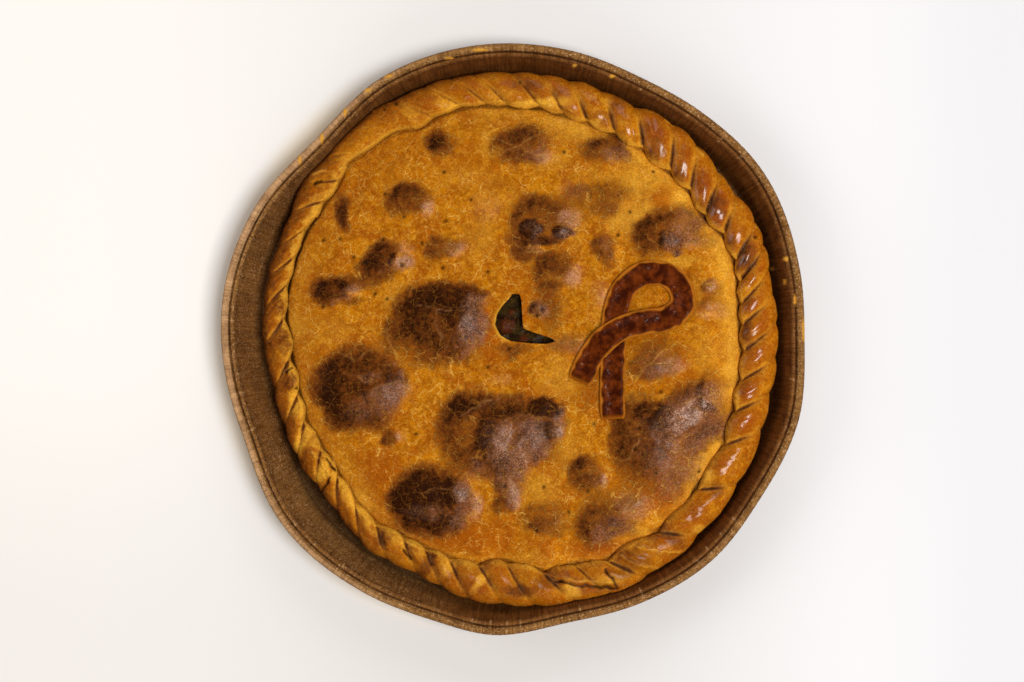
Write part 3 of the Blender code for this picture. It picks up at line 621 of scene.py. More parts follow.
VENT_OUTLINE = [spot(*p) for p in VENT]


def oval(x, y, px, py, rx, ry, turn=0.0):
    """Distance from the middle of an oval of pixels, 1 on its edge."""
    cx, cy = spot(px, py)
    a = math.radians(turn)
    u = ((x - cx) * math.cos(a) + (y - cy) * math.sin(a)) / (rx * PIXEL)
    v = ((y - cy) * math.cos(a) - (x - cx) * math.sin(a)) / (ry * PIXEL)
    return np.hypot(u, v)


def patches(x, y, table):
    """Soft-edged patches laid over each other, from 0 to 1."""
    bare = np.ones(x.shape)
    for px, py, rx, ry, turn, strength, soft in table:
        bare = bare * (1 - strength * smooth(1 + soft, 1 - soft, oval(x, y, px, py, rx, ry, turn)))
    return 1 - bare


def blister_height(x, y):
    """Height of the blisters over the sheet."""
    height = np.zeros(x.shape)
    for px, py, rx, ry, turn, high in BLISTERS:
        d = oval(x, y, px, py, rx, ry, turn)
        dome = 0.45 * np.clip(1.06 - d * d, 0, None) ** 1.3 + 0.55 * smooth(1.12, 0.42, d)
        height = height + high * 0.001 * dome
    return height


def lid_sheet(x, y):
    """Height of the lid without its blisters, and the share of the way to the seam."""
    dx, dy = x - PIE_CENTRE[0], y - PIE_CENTRE[1]
    angle = np.degrees(np.arctan2(dy, dx))
    share = np.minimum(np.hypot(dx, dy) / closed_curve(SEAM_CURVE, angle), 1.04)
    left = 1 - np.minimum(share, 1.0)
    return LID_EDGE + LID_DOME * (0.62 * smooth(0.0, 0.17, left) + 0.38 * (1 - share * share)), share, angle


def warped(x, y):
    """Places shifted by up to two and a half millimetres, which makes drawn outlines uneven."""
    waves = ((0.0017, 0.0075), (0.0009, 0.0028))
    wx = x + sum(amount * noise(x, y, size, 301 + i) for i, (amount, size) in enumerate(waves))
    wy = y + sum(amount * noise(x, y, size, 311 + i) for i, (amount, size) in enumerate(waves))
    return wx, wy


def seam_dip(x, y, edge, angle):
    """How far the lid sinks along the seam, how open the seam is, and the strength of its furrow."""
    furrow = closed_curve(FURROW, angle)
    crack = closed_curve(SEAM_CRACK, angle) * smooth(0.0024, 0.0008, edge + 0.0007 * noise(x, y, 0.005, 41))
    dip = furrow * FURROW_DEPTH * smooth(0.0072, 0.0, edge) + 0.0010 * smooth(0.0016, 0.0, edge)
    return dip, crack, furrow


def lid_height(x, y, brown):
    """Height of the top of the lid without its pits and wrinkles."""
    z, share, angle = lid_sheet(x, y)
    edge = (1 - share) * SEAM_RADIUS
    wx, wy = warped(x, y)
    z = z + blister_height(0.6 * x + 0.4 * wx, 0.6 * y + 0.4 * wy)
    z = z + 0.00035 * rough_noise(x, y, 0.016, 21, 4)
    z = z + (0.00010 + 0.00022 * brown) * rough_noise(wx, wy, 0.0052, 25)
    return z - seam_dip(x, y, edge, angle)[0]


def lid_fields(x, y):
    """Height of the top of the lid, with what colours it, painted shade, sheen and light among them."""
    wx, wy = warped(x, y)
    brown = patches(wx, wy, BROWNED)
    z = lid_height(x, y, brown)
    # the slope towards the main light, taken over this reach on both sides
    reach = 0.0009
    before = lid_height(x - reach * LIGHT_WAY[0], y - reach * LIGHT_WAY[1], brown)
    after = lid_height(x + reach * LIGHT_WAY[0], y + reach * LIGHT_WAY[1], brown)
    facing = np.clip((before - after) / (2 * reach) / 0.24, -1, 1)
    share, angle = lid_sheet(x, y)[1:]
    edge = (1 - share) * SEAM_RADIUS
    crack, furrow = seam_dip(x, y, edge, angle)[1:]
    fade_from, fade_to = (spot(column, 0)[0] for column in LIP_FADE)
    lip = fading(line_distance(x, y, VENT_OUTLINE + VENT_OUTLINE[:1]), LIP_WIDTH)
    lip = lip * smooth(fade_from, fade_to, x)
    painted_sheen_and_gloss = patches(wx, wy, [(*row, 0.55) for row in PAINTED_SHEEN_PATCHES])
    toast = patches(wx, wy, [(px, py, rx, ry, 0, s, 0.6) for px, py, rx, ry, s in TOASTED])
    pale = np.zeros(x.shape)
    for run in WRINKLES:
        mark = fading(line_distance(wx, wy, [spot(*p) for p in run]), WRINKLE_WIDTH)
        pale = np.maximum(pale, mark * (1 - 0.5 * brown))
        z = z + WRINKLE_HEIGHT * mark
    dark = np.zeros(x.shape)
    for px, py in PITS:
        cx, cy = spot(px, py)
        mark = fading(np.hypot(x - cx, y - cy), PIT_WIDTH)
        dark = np.maximum(dark, np.minimum(1.05 * mark, 1.0))
        z = z - PIT_DEPTH * mark
    pale = np.maximum(pale, lip)
    # the pale margin along the seam, broken up, and the fair patches
    margin = smooth(0.020, 0.003, edge) * closed_curve(MARGIN, angle) * (1 - 0.6 * brown)
    margin = margin * (0.35 + 0.65 * smooth(-0.5, 0.4, rough_noise(wx, wy, 0.010, 43)))
    lower_right = smooth(0.2, 0.9, np.cos(np.radians(angle - 292)))
    margin = np.maximum(margin, 0.25 * lower_right * smooth(0.0065, 0.0020, edge))
    fair = patches(wx, wy, [(*row, 0.75) for row in FAIR])
    margin = np.maximum(margin, fair * (0.75 + 0.25 * rough_noise(wx, wy, 0.008, 47)) * (1 - 0.5 * brown))
    margin = np.maximum(margin, 0.8 * lip)
    # painted shade: browner where the skin turns from the main light and in the furrow's shadow; painted
    # sheen where it faces the light, and a painted lit side
    shadow = furrow * smooth(0.0040, 0.0004, edge)
    # painted shade: the open crack is painted near black
    z = z - CRACK_DEPTH * crack
    dark = np.maximum(dark, 0.85 * crack)
    away = np.clip(-facing, 0, 1)
    brown = np.clip(brown + 0.16 * away * smooth(0.0, 0.3, brown) + 0.14 * away + 0.44 * shadow, 0, 1)
    painted_sheen_and_gloss = painted_sheen_and_gloss * (0.45 + 0.55 * smooth(-0.15, 0.55, facing))
    painted_sheen_and_gloss = np.maximum(painted_sheen_and_gloss, 0.28 * smooth(0.35, 0.9, facing) * smooth(0.25, 0.6, brown))
    lit = np.clip(facing, 0, 1) * (1 - 0.4 * smooth(0.2, 0.6, brown))
    return z, {"brown": brown, "pale": pale, "burns_and_crack_shade": dark, "margin": margin, "painted_sheen_and_gloss": painted_sheen_and_gloss, "red": toast,
               "lit": lit}


def ring_mesh(turns, count):
    """Grid rolled into a ring of rows; returns it with the angle and the row of each vertex."""
    bm = bmesh.new()
    bmesh.ops.create_grid(bm, x_segments=turns, y_segments=count - 1, size=1.0)
    co = np.array([v.co[:] for v in bm.verts])
    return bm, (co[:, 0] + 1) * 180.0, np.rint((co[:, 1] + 1) * (count - 1) / 2).astype(int)


def disc_mesh(cells):
    """Square grid of quads; returns it with the unit-disc place of each vertex."""
    bm = bmesh.new()
    bmesh.ops.create_grid(bm, x_segments=cells, y_segments=cells, size=1.0)
    co = np.array([v.co[:] for v in bm.verts])
    u, v = co[:, 0], co[:, 1]
    return bm, u * np.sqrt(1 - v * v / 2), v * np.sqrt(1 - u * u / 2)


def move_to(bm, x, y, z):
    """Puts each vertex at its place."""
    for vert, place in zip(bm.verts, np.stack([x, y, z], axis=1).tolist()):
        vert.co = place


def add_fields(bm, fields):
    """Stores each field as a float layer of the vertices, which becomes an attribute of the mesh."""
    for name, values in fields.items():
        layer = bm.verts.layers.float.new(name)
        for vert, value in zip(bm.verts, values.tolist()):
            vert[layer] = value


def place_piece(name, bm, material, nodes):
    """Makes the object, puts it in place of the nodes and lets it ride on the pie."""
    mesh = bpy.data.meshes.new(name)
    bm.to_mesh(mesh)
    bm.free()
    mesh.shade_smooth()
    mesh.materials.append(material)
    piece = bpy.data.objects.new(name, mesh)
    bpy.context.scene.collection.objects.link(piece)
    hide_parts(*nodes)
    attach(piece, "root")


# Shader building blocks

def new_node(tree, kind, **settings):
    """A node with its settings."""
    node = tree.nodes.new(kind)
    for key, value in settings.items():
        setattr(node, key, value)
    return node


def feed(tree, socket, source):
    """Links a socket, or sets it when the source is a plain value."""
    if isinstance(source, bpy.types.NodeSocket):
        tree.links.new(source, socket)
    else:
        socket.default_value = source


def math_node(tree, operation, first, second=0.0, clamp=False):
    """Output of a Math node."""
    node = new_node(tree, "ShaderNodeMath", operation=operation, use_clamp=clamp)
    feed(tree, node.inputs[0], first)
    feed(tree, node.inputs[1], second)
    return node.outputs[0]


def mix_colours(tree, factor, first, second, blend="MIX"):
    """Output of a Mix node for two colours, each a socket or a plain value."""
    node = new_node(tree, "ShaderNodeMix", data_type="RGBA", blend_type=blend)
    feed(tree, node.inputs["Factor"], factor)
    # inputs 6 and 7 and output 2 are the node's colour sockets
    for index, colour in ((6, first), (7, second)):
        feed(tree, node.inputs[index], colour if isinstance(colour, bpy.types.NodeSocket) else (*colour, 1))
    return node.outputs[2]


def remap(tree, value, low, high, to_low=0.0, to_high=1.0):
    """Output of a smooth Map Range node."""
    node = new_node(tree, "ShaderNodeMapRange", interpolation_type="SMOOTHSTEP")
    feed(tree, node.inputs["Value"], value)
    for key, number in (("From Min", low), ("From Max", high), ("To Min", to_low), ("To Max", to_high)):
        feed(tree, node.inputs[key], number)
    return node.outputs["Result"]


def noise_node(tree, vector, scale, detail=3.0, roughness=0.55, distortion=0.0, output="Fac"):
    """Output of a Noise Texture node."""
    node = new_node(tree, "ShaderNodeTexNoise")
    feed(tree, node.inputs["Vector"], vector)
    for key, number in (("Scale", scale), ("Detail", detail), ("Roughness", roughness),
                        ("Distortion", distortion)):
        node.inputs[key].default_value = number
    return node.outputs[output]


def make_group(name, inputs, outputs):
    """New shader group with its sockets; returns it with its input and output nodes."""
    group = bpy.data.node_groups.new(name, "ShaderNodeTree")
    for label, kind, value in inputs:
        socket = group.interface.new_socket(name=label, in_out="INPUT", socket_type=kind)
        if value is not None:
            socket.default_value = value
    for label, kind in outputs:
        group.interface.new_socket(name=label, in_out="OUTPUT", socket_type=kind)
    return group, group.nodes.new("NodeGroupInput"), group.nodes.new("NodeGroupOutput")


def crackle_group():
    """Fine torn network of a baked egg-washed skin: thin curved lines between small flakes."""
    group, given, made = make_group(
        "crackled_skin",
        (("Vector", "NodeSocketVector", None), ("Scale", "NodeSocketFloat", 160.0),
         ("Line Width", "NodeSocketFloat", 0.046)),
        (("Lines", "NodeSocketFloat"),))
    drift = noise_node(group, given.outputs["Vector"], 260.0, 3.0, 0.6, output="Color")
    shift = new_node(group, "ShaderNodeVectorMath", operation="SUBTRACT")
    feed(group, shift.inputs[0], drift)
    shift.inputs[1].default_value = (0.5, 0.5, 0.5)
    scaled = new_node(group, "ShaderNodeVectorMath", operation="SCALE")
    feed(group, scaled.inputs[0], shift.outputs[0])
    scaled.inputs["Scale"].default_value = 0.0042
    bent = new_node(group, "ShaderNodeVectorMath", operation="ADD")
    feed(group, bent.inputs[0], given.outputs["Vector"])
    feed(group, bent.inputs[1], scaled.outputs[0])
    flat = new_node(group, "ShaderNodeVectorMath", operation="MULTIPLY")
    feed(group, flat.inputs[0], bent.outputs[0])
    flat.inputs[1].default_value = (1, 1, 0.35)
    lines = []
    for factor, width in ((1.0, 1.0), (2.1, 1.5)):
        cells = new_node(group, "ShaderNodeTexVoronoi", feature="DISTANCE_TO_EDGE")
        feed(group, cells.inputs["Vector"], flat.outputs[0])
        feed(group, cells.inputs["Scale"], math_node(group, "MULTIPLY", given.outputs["Scale"], factor))
        limit = math_node(group, "MULTIPLY", given.outputs["Line Width"], width)
        lines.append(remap(group, cells.outputs["Distance"], limit, 0.0))
    broken = remap(group, noise_node(group, given.outputs["Vector"], 150.0), 0.38, 0.56, 0.20, 1.0)
    torn = remap(group, noise_node(group, given.outputs["Vector"], 310.0), 0.42, 0.62, 0.0, 0.62)
    coarse = math_node(group, "MULTIPLY", lines[0], broken)
    fine = math_node(group, "MULTIPLY", lines[1], torn)
    feed(group, made.inputs["Lines"], math_node(group, "MAXIMUM", coarse, fine))
    return group


def baked_group(crackle):
    """Colour, gloss and relief of baked dough from how brown each place is, painted shade included, with
    painted sheen and a painted lit side.
    """
    colours = (("Golden", GOLDEN_CRUST), ("Pale", PALE_DOUGH), ("Brown", BROWN_CRUST),
               ("Dark", DARK_CRUST), ("Toast", TOASTED_CRUST), ("Satin", PAINTED_SHEEN_COLOUR))
    group, given, made = make_group(
        "baked_dough",
        (("Vector", "NodeSocketVector", None), ("Browning and Shade", "NodeSocketFloat", 0.0),
         ("Margin", "NodeSocketFloat", 0.0), ("Wrinkle", "NodeSocketFloat", 0.0),
         ("Burns and Crack Shade", "NodeSocketFloat", 0.0), ("Redness", "NodeSocketFloat", 0.0),
         ("Satin", "NodeSocketFloat", 0.0), ("Gloss", "NodeSocketFloat", 0.0),
         ("Lit", "NodeSocketFloat", 0.0), ("Crackle", "NodeSocketFloat", 1.0))
        + tuple((f"{name} Colour", "NodeSocketColor", (*value, 1)) for name, value in colours),
        (("Colour", "NodeSocketColor"), ("Roughness", "NodeSocketFloat"), ("Glaze", "NodeSocketFloat"),
         ("Height", "NodeSocketFloat")))
    where = given.outputs["Vector"]
    cracks = new_node(group, "ShaderNodeGroup", node_tree=crackle)
    feed(group, cracks.inputs["Vector"], where)
    lines = math_node(group, "MULTIPLY", cracks.outputs["Lines"], given.outputs["Crackle"])
    grain = noise_node(group, where, 1000.0, 3.0, 0.7)
    mottle = noise_node(group, where, 400.0, 4.0, 0.65, 0.6)
    patchy = noise_node(group, where, 150.0, 4.0, 0.6, 0.8)
    clouds = noise_node(group, where, 60.0, 5.0, 0.68, 0.9)
    browning_and_shade = given.outputs["Browning and Shade"]
    wander = math_node(group, "ADD", math_node(group, "SUBTRACT", mottle, 0.5),
                       math_node(group, "MULTIPLY", math_node(group, "SUBTRACT", patchy, 0.5), 0.7))
    edge = math_node(group, "MULTIPLY", wander, remap(group, browning_and_shade, 0.02, 0.30, 0.0, 0.75))
    level = math_node(group, "ADD", browning_and_shade, edge, clamp=True)
    base = mix_colours(group, remap(group, clouds, 0.40, 0.62, 0.0, 0.72), given.outputs["Golden Colour"],
                       given.outputs["Toast Colour"])
    base = mix_colours(group, remap(group, patchy, 0.58, 0.36, 0.0, 0.60), base, AMBER_CRUST)
    base = mix_colours(group, remap(group, mottle, 0.48, 0.68, 0.0, 0.38), base,
                       given.outputs["Pale Colour"])
    base = mix_colours(group, given.outputs["Redness"], base, given.outputs["Toast Colour"])
    base = mix_colours(group, math_node(group, "MULTIPLY", given.outputs["Margin"], 0.80), base,
                       given.outputs["Pale Colour"])
    # browning and painted shade darken the crust alike
    mid = mix_colours(group, remap(group, level, 0.0, 0.72), base, given.outputs["Brown Colour"])
    deep = mix_colours(group, remap(group, level, 0.56, 1.02), mid, given.outputs["Dark Colour"])
    streaks = noise_node(group, where, 430.0, 4.0, 0.70, 2.6)
    # painted sheen: the main light's reflection mixed into the colour in streaks
    painted_sheen_mix = math_node(group, "MULTIPLY", given.outputs["Satin"],
                      remap(group, streaks, 0.45, 0.60, 0.08, 0.96))
    deep = mix_colours(group, painted_sheen_mix, deep, given.outputs["Satin Colour"])
    plain = remap(group, patchy, 0.45, 0.57, 0.06, 0.75)
    shown = new_node(group, "ShaderNodeMix", data_type="FLOAT")
    feed(group, shown.inputs["Factor"], remap(group, browning_and_shade, 0.02, 0.35))
    feed(group, shown.inputs["A"], plain)
    feed(group, shown.inputs["B"], remap(group, browning_and_shade, 0.50, 0.95, 0.76, 0.52))
    shown = math_node(group, "MULTIPLY", lines, shown.outputs["Result"])
    light = mix_colours(group, remap(group, browning_and_shade, 0.1, 0.9), TORN_SKIN, TORN_BROWN)
    lined = mix_colours(group, shown, deep, light)
    raised = math_node(group, "MULTIPLY", given.outputs["Wrinkle"],
                       remap(group, patchy, 0.36, 0.60, 0.1, 0.60))
    ridges = mix_colours(group, remap(group, browning_and_shade, 0.1, 0.9), given.outputs["Pale Colour"], TORN_RIDGE)
    lined = mix_colours(group, raised, lined, ridges)
    # painted light: the side that faces the main light is made brighter
    bright = mix_colours(group, 1.0, lined, LIT_GAIN, "MULTIPLY")
    lined = mix_colours(group, math_node(group, "MULTIPLY", given.outputs["Lit"], 0.6), lined, bright)
    speck = mix_colours(group, remap(group, grain, 0.34, 0.62), CRUST_SPECKS, WHITE)
    speck = mix_colours(group, 1.0, lined, speck, "MULTIPLY")
    # burnt pits and dots in their own dark colour, and painted shade in cracks and splits
    feed(group, made.inputs["Colour"], mix_colours(group, given.outputs["Burns and Crack Shade"], speck, BURN_AND_CRACK_SHADE))
    feed(group, made.inputs["Roughness"], remap(group, grain, 0.3, 0.7, 0.70, 0.88))
    worn = math_node(group, "MULTIPLY", remap(group, grain, 0.35, 0.65, 0.35, 1.0),
                     remap(group, lines, 0.0, 1.0, 1.0, 0.5))
    gloss = math_node(group, "MULTIPLY", remap(group, browning_and_shade, 0.1, 0.8, 0.0, 0.03), worn)
    shine = math_node(group, "MULTIPLY", math_node(group, "MULTIPLY", given.outputs["Satin"], worn), 0.45)
    gloss = math_node(group, "MAXIMUM", gloss, shine)
    feed(group, made.inputs["Glaze"], math_node(group, "MAXIMUM", gloss, given.outputs["Gloss"]))
    relief = math_node(group, "MULTIPLY", lines, remap(group, browning_and_shade, 0.02, 0.45, 0.25, 0.8))
    grainy = math_node(group, "MULTIPLY_ADD", grain, 0.40)
    feed(group, grainy.node.inputs[2], relief)
    lumpy = math_node(group, "MULTIPLY_ADD", mottle, 1.5)
    feed(group, lumpy.node.inputs[2], grainy)
    feed(group, made.inputs["Height"], lumpy)
    return group


def paper_group():
    """Brown baking paper: fibres, pressed ribs and greasy stains, with painted shade in its grooves and
    painted light on the rim's left.
    """
    group, given, made = make_group(
        "baking_paper",
        (("Vector", "NodeSocketVector", None), ("Rim", "NodeSocketFloat", 0.0),
         ("Stain", "NodeSocketFloat", 0.0), ("Crease Shade", "NodeSocketFloat", 0.0),
         ("Scuff", "NodeSocketFloat", 0.0), ("Rim Colour", "NodeSocketColor", (*RIM_TAN_PAPER, 1)),
         ("Wall Colour", "NodeSocketColor", (*WALL_PAPER, 1))),
        (("Colour", "NodeSocketColor"), ("Roughness", "NodeSocketFloat"), ("Height", "NodeSocketFloat")))
    where = given.outputs["Vector"]
    parts = new_node(group, "ShaderNodeSeparateXYZ")
    feed(group, parts.inputs[0], where)
    angle = math_node(group, "ARCTAN2", parts.outputs["Y"], parts.outputs["X"])
    squares = [math_node(group, "POWER", parts.outputs[axis], 2.0) for axis in "XY"]
    radius = math_node(group, "POWER", math_node(group, "ADD", *squares), 0.5)
    unrolled = new_node(group, "ShaderNodeCombineXYZ")
    feed(group, unrolled.inputs["X"], angle)
    feed(group, unrolled.inputs["Y"], math_node(group, "MULTIPLY", radius, 0.35))
    feed(group, unrolled.inputs["Z"], math_node(group, "MULTIPLY", parts.outputs["Z"], 0.35))
    ribs = noise_node(group, unrolled.outputs[0], 150.0, 2.0, 0.6)
    scratches = noise_node(group, where, 420.0, 4.0, 0.75, 3.0)
    fibres = noise_node(group, where, 900.0, 4.0, 0.7)
    clouds = noise_node(group, where, 70.0, 4.0, 0.6)
    colour = mix_colours(group, given.outputs["Rim"], given.outputs["Wall Colour"],
                         given.outputs["Rim Colour"])
    # painted light: where the rim's share passes 1 it is made paler still
    colour = mix_colours(group, remap(group, given.outputs["Rim"], 1.0, 1.3, 0.0, 0.75), colour, RIM_PAINTED_LIGHT)
    for pattern, low, high, tint in ((ribs, 0.34, 0.66, RIB_SHADE), (clouds, 0.3, 0.7, CLOUD_SHADE),
                                     (fibres, 0.3, 0.7, FIBRE_SHADE)):
        shade = mix_colours(group, remap(group, pattern, low, high), tint, WHITE)
        colour = mix_colours(group, 1.0, colour, shade, "MULTIPLY")
    scratched = math_node(group, "MULTIPLY", remap(group, scratches, 0.53, 0.63, 0.0, 0.85),
                          remap(group, given.outputs["Rim"], 0.05, 0.7, 0.15, 1.0))
    scratched = math_node(group, "MAXIMUM", scratched, given.outputs["Scuff"])
    for mask, tint in ((scratched, SCUFFED_PAPER), (given.outputs["Crease Shade"], CREASE_SHADE),
                       (given.outputs["Stain"], STAINED_PAPER)):
        colour = mix_colours(group, mask, colour, tint)
    feed(group, made.inputs["Colour"], colour)
    feed(group, made.inputs["Roughness"], remap(group, fibres, 0.3, 0.7, 0.52, 0.70))
    relief = math_node(group, "MULTIPLY_ADD", ribs, 1.0)
    feed(group, relief.node.inputs[2], math_node(group, "MULTIPLY", fibres, 0.4))
    feed(group, made.inputs["Height"], relief)
    return group


def shaded_material(name, roughness=0.45, specular=0.5, coat=0.0, coat_roughness=0.2):
    """A material; returns it with its tree, its Principled shader and the object's coordinates."""
    material = bpy.data.materials.new(name)
    material.use_nodes = True
    tree = material.node_tree
    shader = tree.nodes["Principled BSDF"]
    for key, number in (("Roughness", roughness), ("Specular IOR Level", specular), ("Coat Weight", coat),
                        ("Coat Roughness", coat_roughness)):
        shader.inputs[key].default_value = number
    where = new_node(tree, "ShaderNodeTexCoord").outputs["Object"]
    return material, tree, shader, where


def attribute(tree, name):
    """Output of a field of the vertices."""
    return new_node(tree, "ShaderNodeAttribute", attribute_name=name).outputs["Fac"]


def bump(tree, shader, height, distance):
    """Fine relief of a surface, its height in metres where the field is 1."""
    node = new_node(tree, "ShaderNodeBump")
    feed(tree, node.inputs["Height"], height)
    node.inputs["Distance"].default_value = distance
    feed(tree, shader.inputs["Normal"], node.outputs["Normal"])


def baked_material(name, colours, fields, crackle=1.0, relief=0.0003, coat_roughness=0.30):
    """Baked dough that takes its browning and marks from the piece's own attributes."""
    material, tree, shader, where = shaded_material(name, specular=0.03, coat_roughness=coat_roughness)
    dough = new_node(tree, "ShaderNodeGroup", node_tree=dough_group())
    feed(tree, dough.inputs["Vector"], where)
    dough.inputs["Crackle"].default_value = crackle
    for socket, field in fields.items():
        feed(tree, dough.inputs[socket], attribute(tree, field))
    for socket, value in dough_colours(colours).items():
        dough.inputs[socket].default_value = (*value, 1)
    feed(tree, shader.inputs["Base Color"], dough.outputs["Colour"])
    feed(tree, shader.inputs["Roughness"], dough.outputs["Roughness"])
    feed(tree, shader.inputs["Coat Weight"], dough.outputs["Glaze"])
    bump(tree, shader, dough.outputs["Height"], relief)
    return material


LID_FIELDS = ("brown", "pale", "burns_and_crack_shade", "margin", "painted_sheen_and_gloss", "red", "lit")


def nearest_on_vent(place):
    """Nearest point of the vent's outline."""
    ring = [Vector(p) for p in VENT_OUTLINE + VENT_OUTLINE[:1]]
    best = None
    for first, second in zip(ring, ring[1:]):
        run = second - first
        t = min(max((place - first).dot(run) / run.length_squared, 0.0), 1.0)
        point = first + run * t
        if best is None or (point - place).length < (best - place).length:
            best = point
    return best


def by_the_vent(vert):
    """Whether a vertex on an open edge belongs to the vent and not to the seam."""
    return (vert.co.xy - Vector(VENT_OUTLINE[VENT_MIDDLE])).length < SEAM_RADIUS / 2


def lid_face(cells, under, thickness):
    """One face of the lid as its own mesh, with the vent cut out along its outline."""
    bm, u, v = disc_mesh(cells)
    degrees = np.degrees(np.arctan2(v, u))
    radius = np.hypot(u, v) * (closed_curve(SEAM_CURVE, degrees) + 0.0004)
    move_to(bm, PIE_CENTRE[0] + radius * np.cos(np.radians(degrees)),
            PIE_CENTRE[1] + radius * np.sin(np.radians(degrees)), radius * 0)
    middles = np.array([face.calc_center_median()[:2] for face in bm.faces])
    gone = inside(middles[:, 0], middles[:, 1], VENT_OUTLINE)
    bmesh.ops.delete(bm, geom=[face for face, out in zip(bm.faces, gone) if out], context="FACES")
    for vert in bm.verts:
        if vert.is_boundary and by_the_vent(vert):
            vert.co.xy = nearest_on_vent(vert.co.xy)
    co = np.array([vert.co[:] for vert in bm.verts])
    x, y = co[:, 0], co[:, 1]
    if under:
        z, share, angle = lid_sheet(x, y)
        z = z - thickness - seam_dip(x, y, (1 - share) * SEAM_RADIUS, angle)[0]
        fields = {name: np.zeros(x.shape) for name in LID_FIELDS}
        bmesh.ops.reverse_faces(bm, faces=bm.faces)
    else:
        z, fields = lid_fields(x, y)
        z = z + LIP_HEIGHT * fading(line_distance(x, y, VENT_OUTLINE + VENT_OUTLINE[:1]), 0.0025)
    move_to(bm, x, y, z)
    add_fields(bm, fields)
    mesh = bpy.data.meshes.new("lid_face")
    bm.to_mesh(mesh)
    bm.free()
    return mesh


def make_lid(sizes):
    """Blistered lid: a fine top and a plain underside, joined round the edge and the vent."""
    bm = bmesh.new()
    for cells, under in ((sizes.lid_cells, False), (UNDERSIDE_CELLS, True)):
        mesh = lid_face(cells, under, sizes.lid_thickness)
        bm.from_mesh(mesh)
        bpy.data.meshes.remove(mesh)
    rims = ([], [])
    for edge in bm.edges:
        if edge.is_boundary:
            rims[by_the_vent(edge.verts[0])].append(edge)
    for loops in rims:
        bmesh.ops.bridge_loops(bm, edges=loops)
    return bm


def fold_fields(degrees, share):
    """Where a place on the rope lies in its fold: 0 to 1 across it, depth of its groove, width."""
    angles = np.array([a for a, _ in GROOVES], float)
    depths = np.array([d for _, d in GROOVES])
    turn = np.mod(degrees - GROOVE_SLANT * share - angles[0], 360.0) + angles[0]
    i = np.searchsorted(angles, turn, side="right") - 1
    after = (i + 1) % len(angles)
    width = np.mod(angles[after] - angles[i], 360.0)
    across = (turn - angles[i]) / width
    return across, np.where(across < 0.5, depths[i], depths[after]), width


def rope_rows():
    """Rows of the bottom dough's outline, from the middle up its inner wall, over the rope and back."""
    top, waist, low, sheet = ROPE_TOP, ROPE_WAIST, DOUGH_LOW, DOUGH_FLOOR
    # share of the way from the seam to the outer edge, height, depth of the folds, overhang over the lid
    key_rows = (
        (-1.0, low + sheet, 0, 0), (-0.30, low + sheet, 0, 0), (-0.22, LID_EDGE - 0.0088, 0, 0),
        (-0.02, LID_EDGE - 0.0086, 0, 0), (0.005, LID_EDGE - 0.0030, 0.0, 0.5),
        (0.0, LID_EDGE - 0.0006, 0.10, 1.0), (0.03, LID_EDGE + 0.0014, 0.5, 0.95),
        (0.11, top - 0.0010, 0.85, 0.7), (0.26, top + 0.0002, 1.0, 0.3), (0.42, top + 0.0003, 1.0, 0.0),
        (0.60, top - 0.0006, 0.78, 0.0), (0.78, top - 0.0024, 0.45, 0.0), (0.92, top - 0.0050, 0.35, 0.0),
        (0.985, waist + 0.0018, 0.3, 0.0), (1.0, waist, 0.25, 0.0), (0.96, 0.0160, 0.15, 0.0),
        (0.86, 0.0115, 0.1, 0.0), (0.72, 0.0070, 0, 0), (0.62, 0.0036, 0, 0), (0.54, low, 0, 0),
        (-1.0, low, 0, 0),
    )
    # steps between the key rows, finest on the rope's top
    steps = (2, 2, 2, 2, 3, 2, 4, 6, 6, 6, 6, 5, 3, 2, 2, 2, 2, 1, 1, 2)
    rows = []
    # the rope itself is rounded, and the walls and the floor are straight
    rounded = range(4, 16)
    for k, (first, second, count) in enumerate(zip(key_rows, key_rows[1:], steps)):
        before = key_rows[max(k - 1, 0)]
        after = key_rows[min(k + 2, len(key_rows) - 1)]
        for n in range(count):
            t = n / count
            row = []
            for a, b, c, d in zip(before, first, second, after):
                bend = 0.5 * (2 * b + (c - a) * t + (2 * a - 5 * b + 4 * c - d) * t * t
                              + (3 * b - a - 3 * c + d) * t ** 3)
                row.append(bend if k in rounded else b + (c - b) * t)
            rows.append(row)
    rows.append(list(key_rows[-1]))
    return np.array(rows)


def ring_relief(x, y, z, degrees, index):
    """For each place of a ring mesh, how far it leans to the main light and how far it lies in a groove."""
    order = np.lexsort((np.round(degrees, 4), index))
    gx, gy, gz = (v[order].reshape(index.max() + 1, -1)[:, :-1] for v in (x, y, z))
    ux, uy, uz = (np.roll(g, -3, axis=1) - np.roll(g, 3, axis=1) for g in (gx, gy, gz))
    vx, vy, vz = (np.gradient(g, axis=0) for g in (gx, gy, gz))
    nx, ny, nz = uy * vz - uz * vy, uz * vx - ux * vz, ux * vy - uy * vx
    size = np.sqrt(nx * nx + ny * ny + nz * nz) + 1e-12
    side = np.sign(nz) + (nz == 0)
    lean = (nx * LIGHT_WAY[0] + ny * LIGHT_WAY[1]) * side / size
    # a groove is where both neighbours this many steps along the ring are higher
    reach = 5
    deep = 0.5 * (np.roll(gz, reach, axis=1) + np.roll(gz, -reach, axis=1)) - gz
    found = []
    for grid in (np.clip(lean / 0.6, -1, 1), np.clip(deep / 0.0012, 0, 1)):
        whole = np.empty(len(order))
        whole[order] = np.concatenate([grid, grid[:, :1]], axis=1).ravel()
        found.append(whole)
    return found


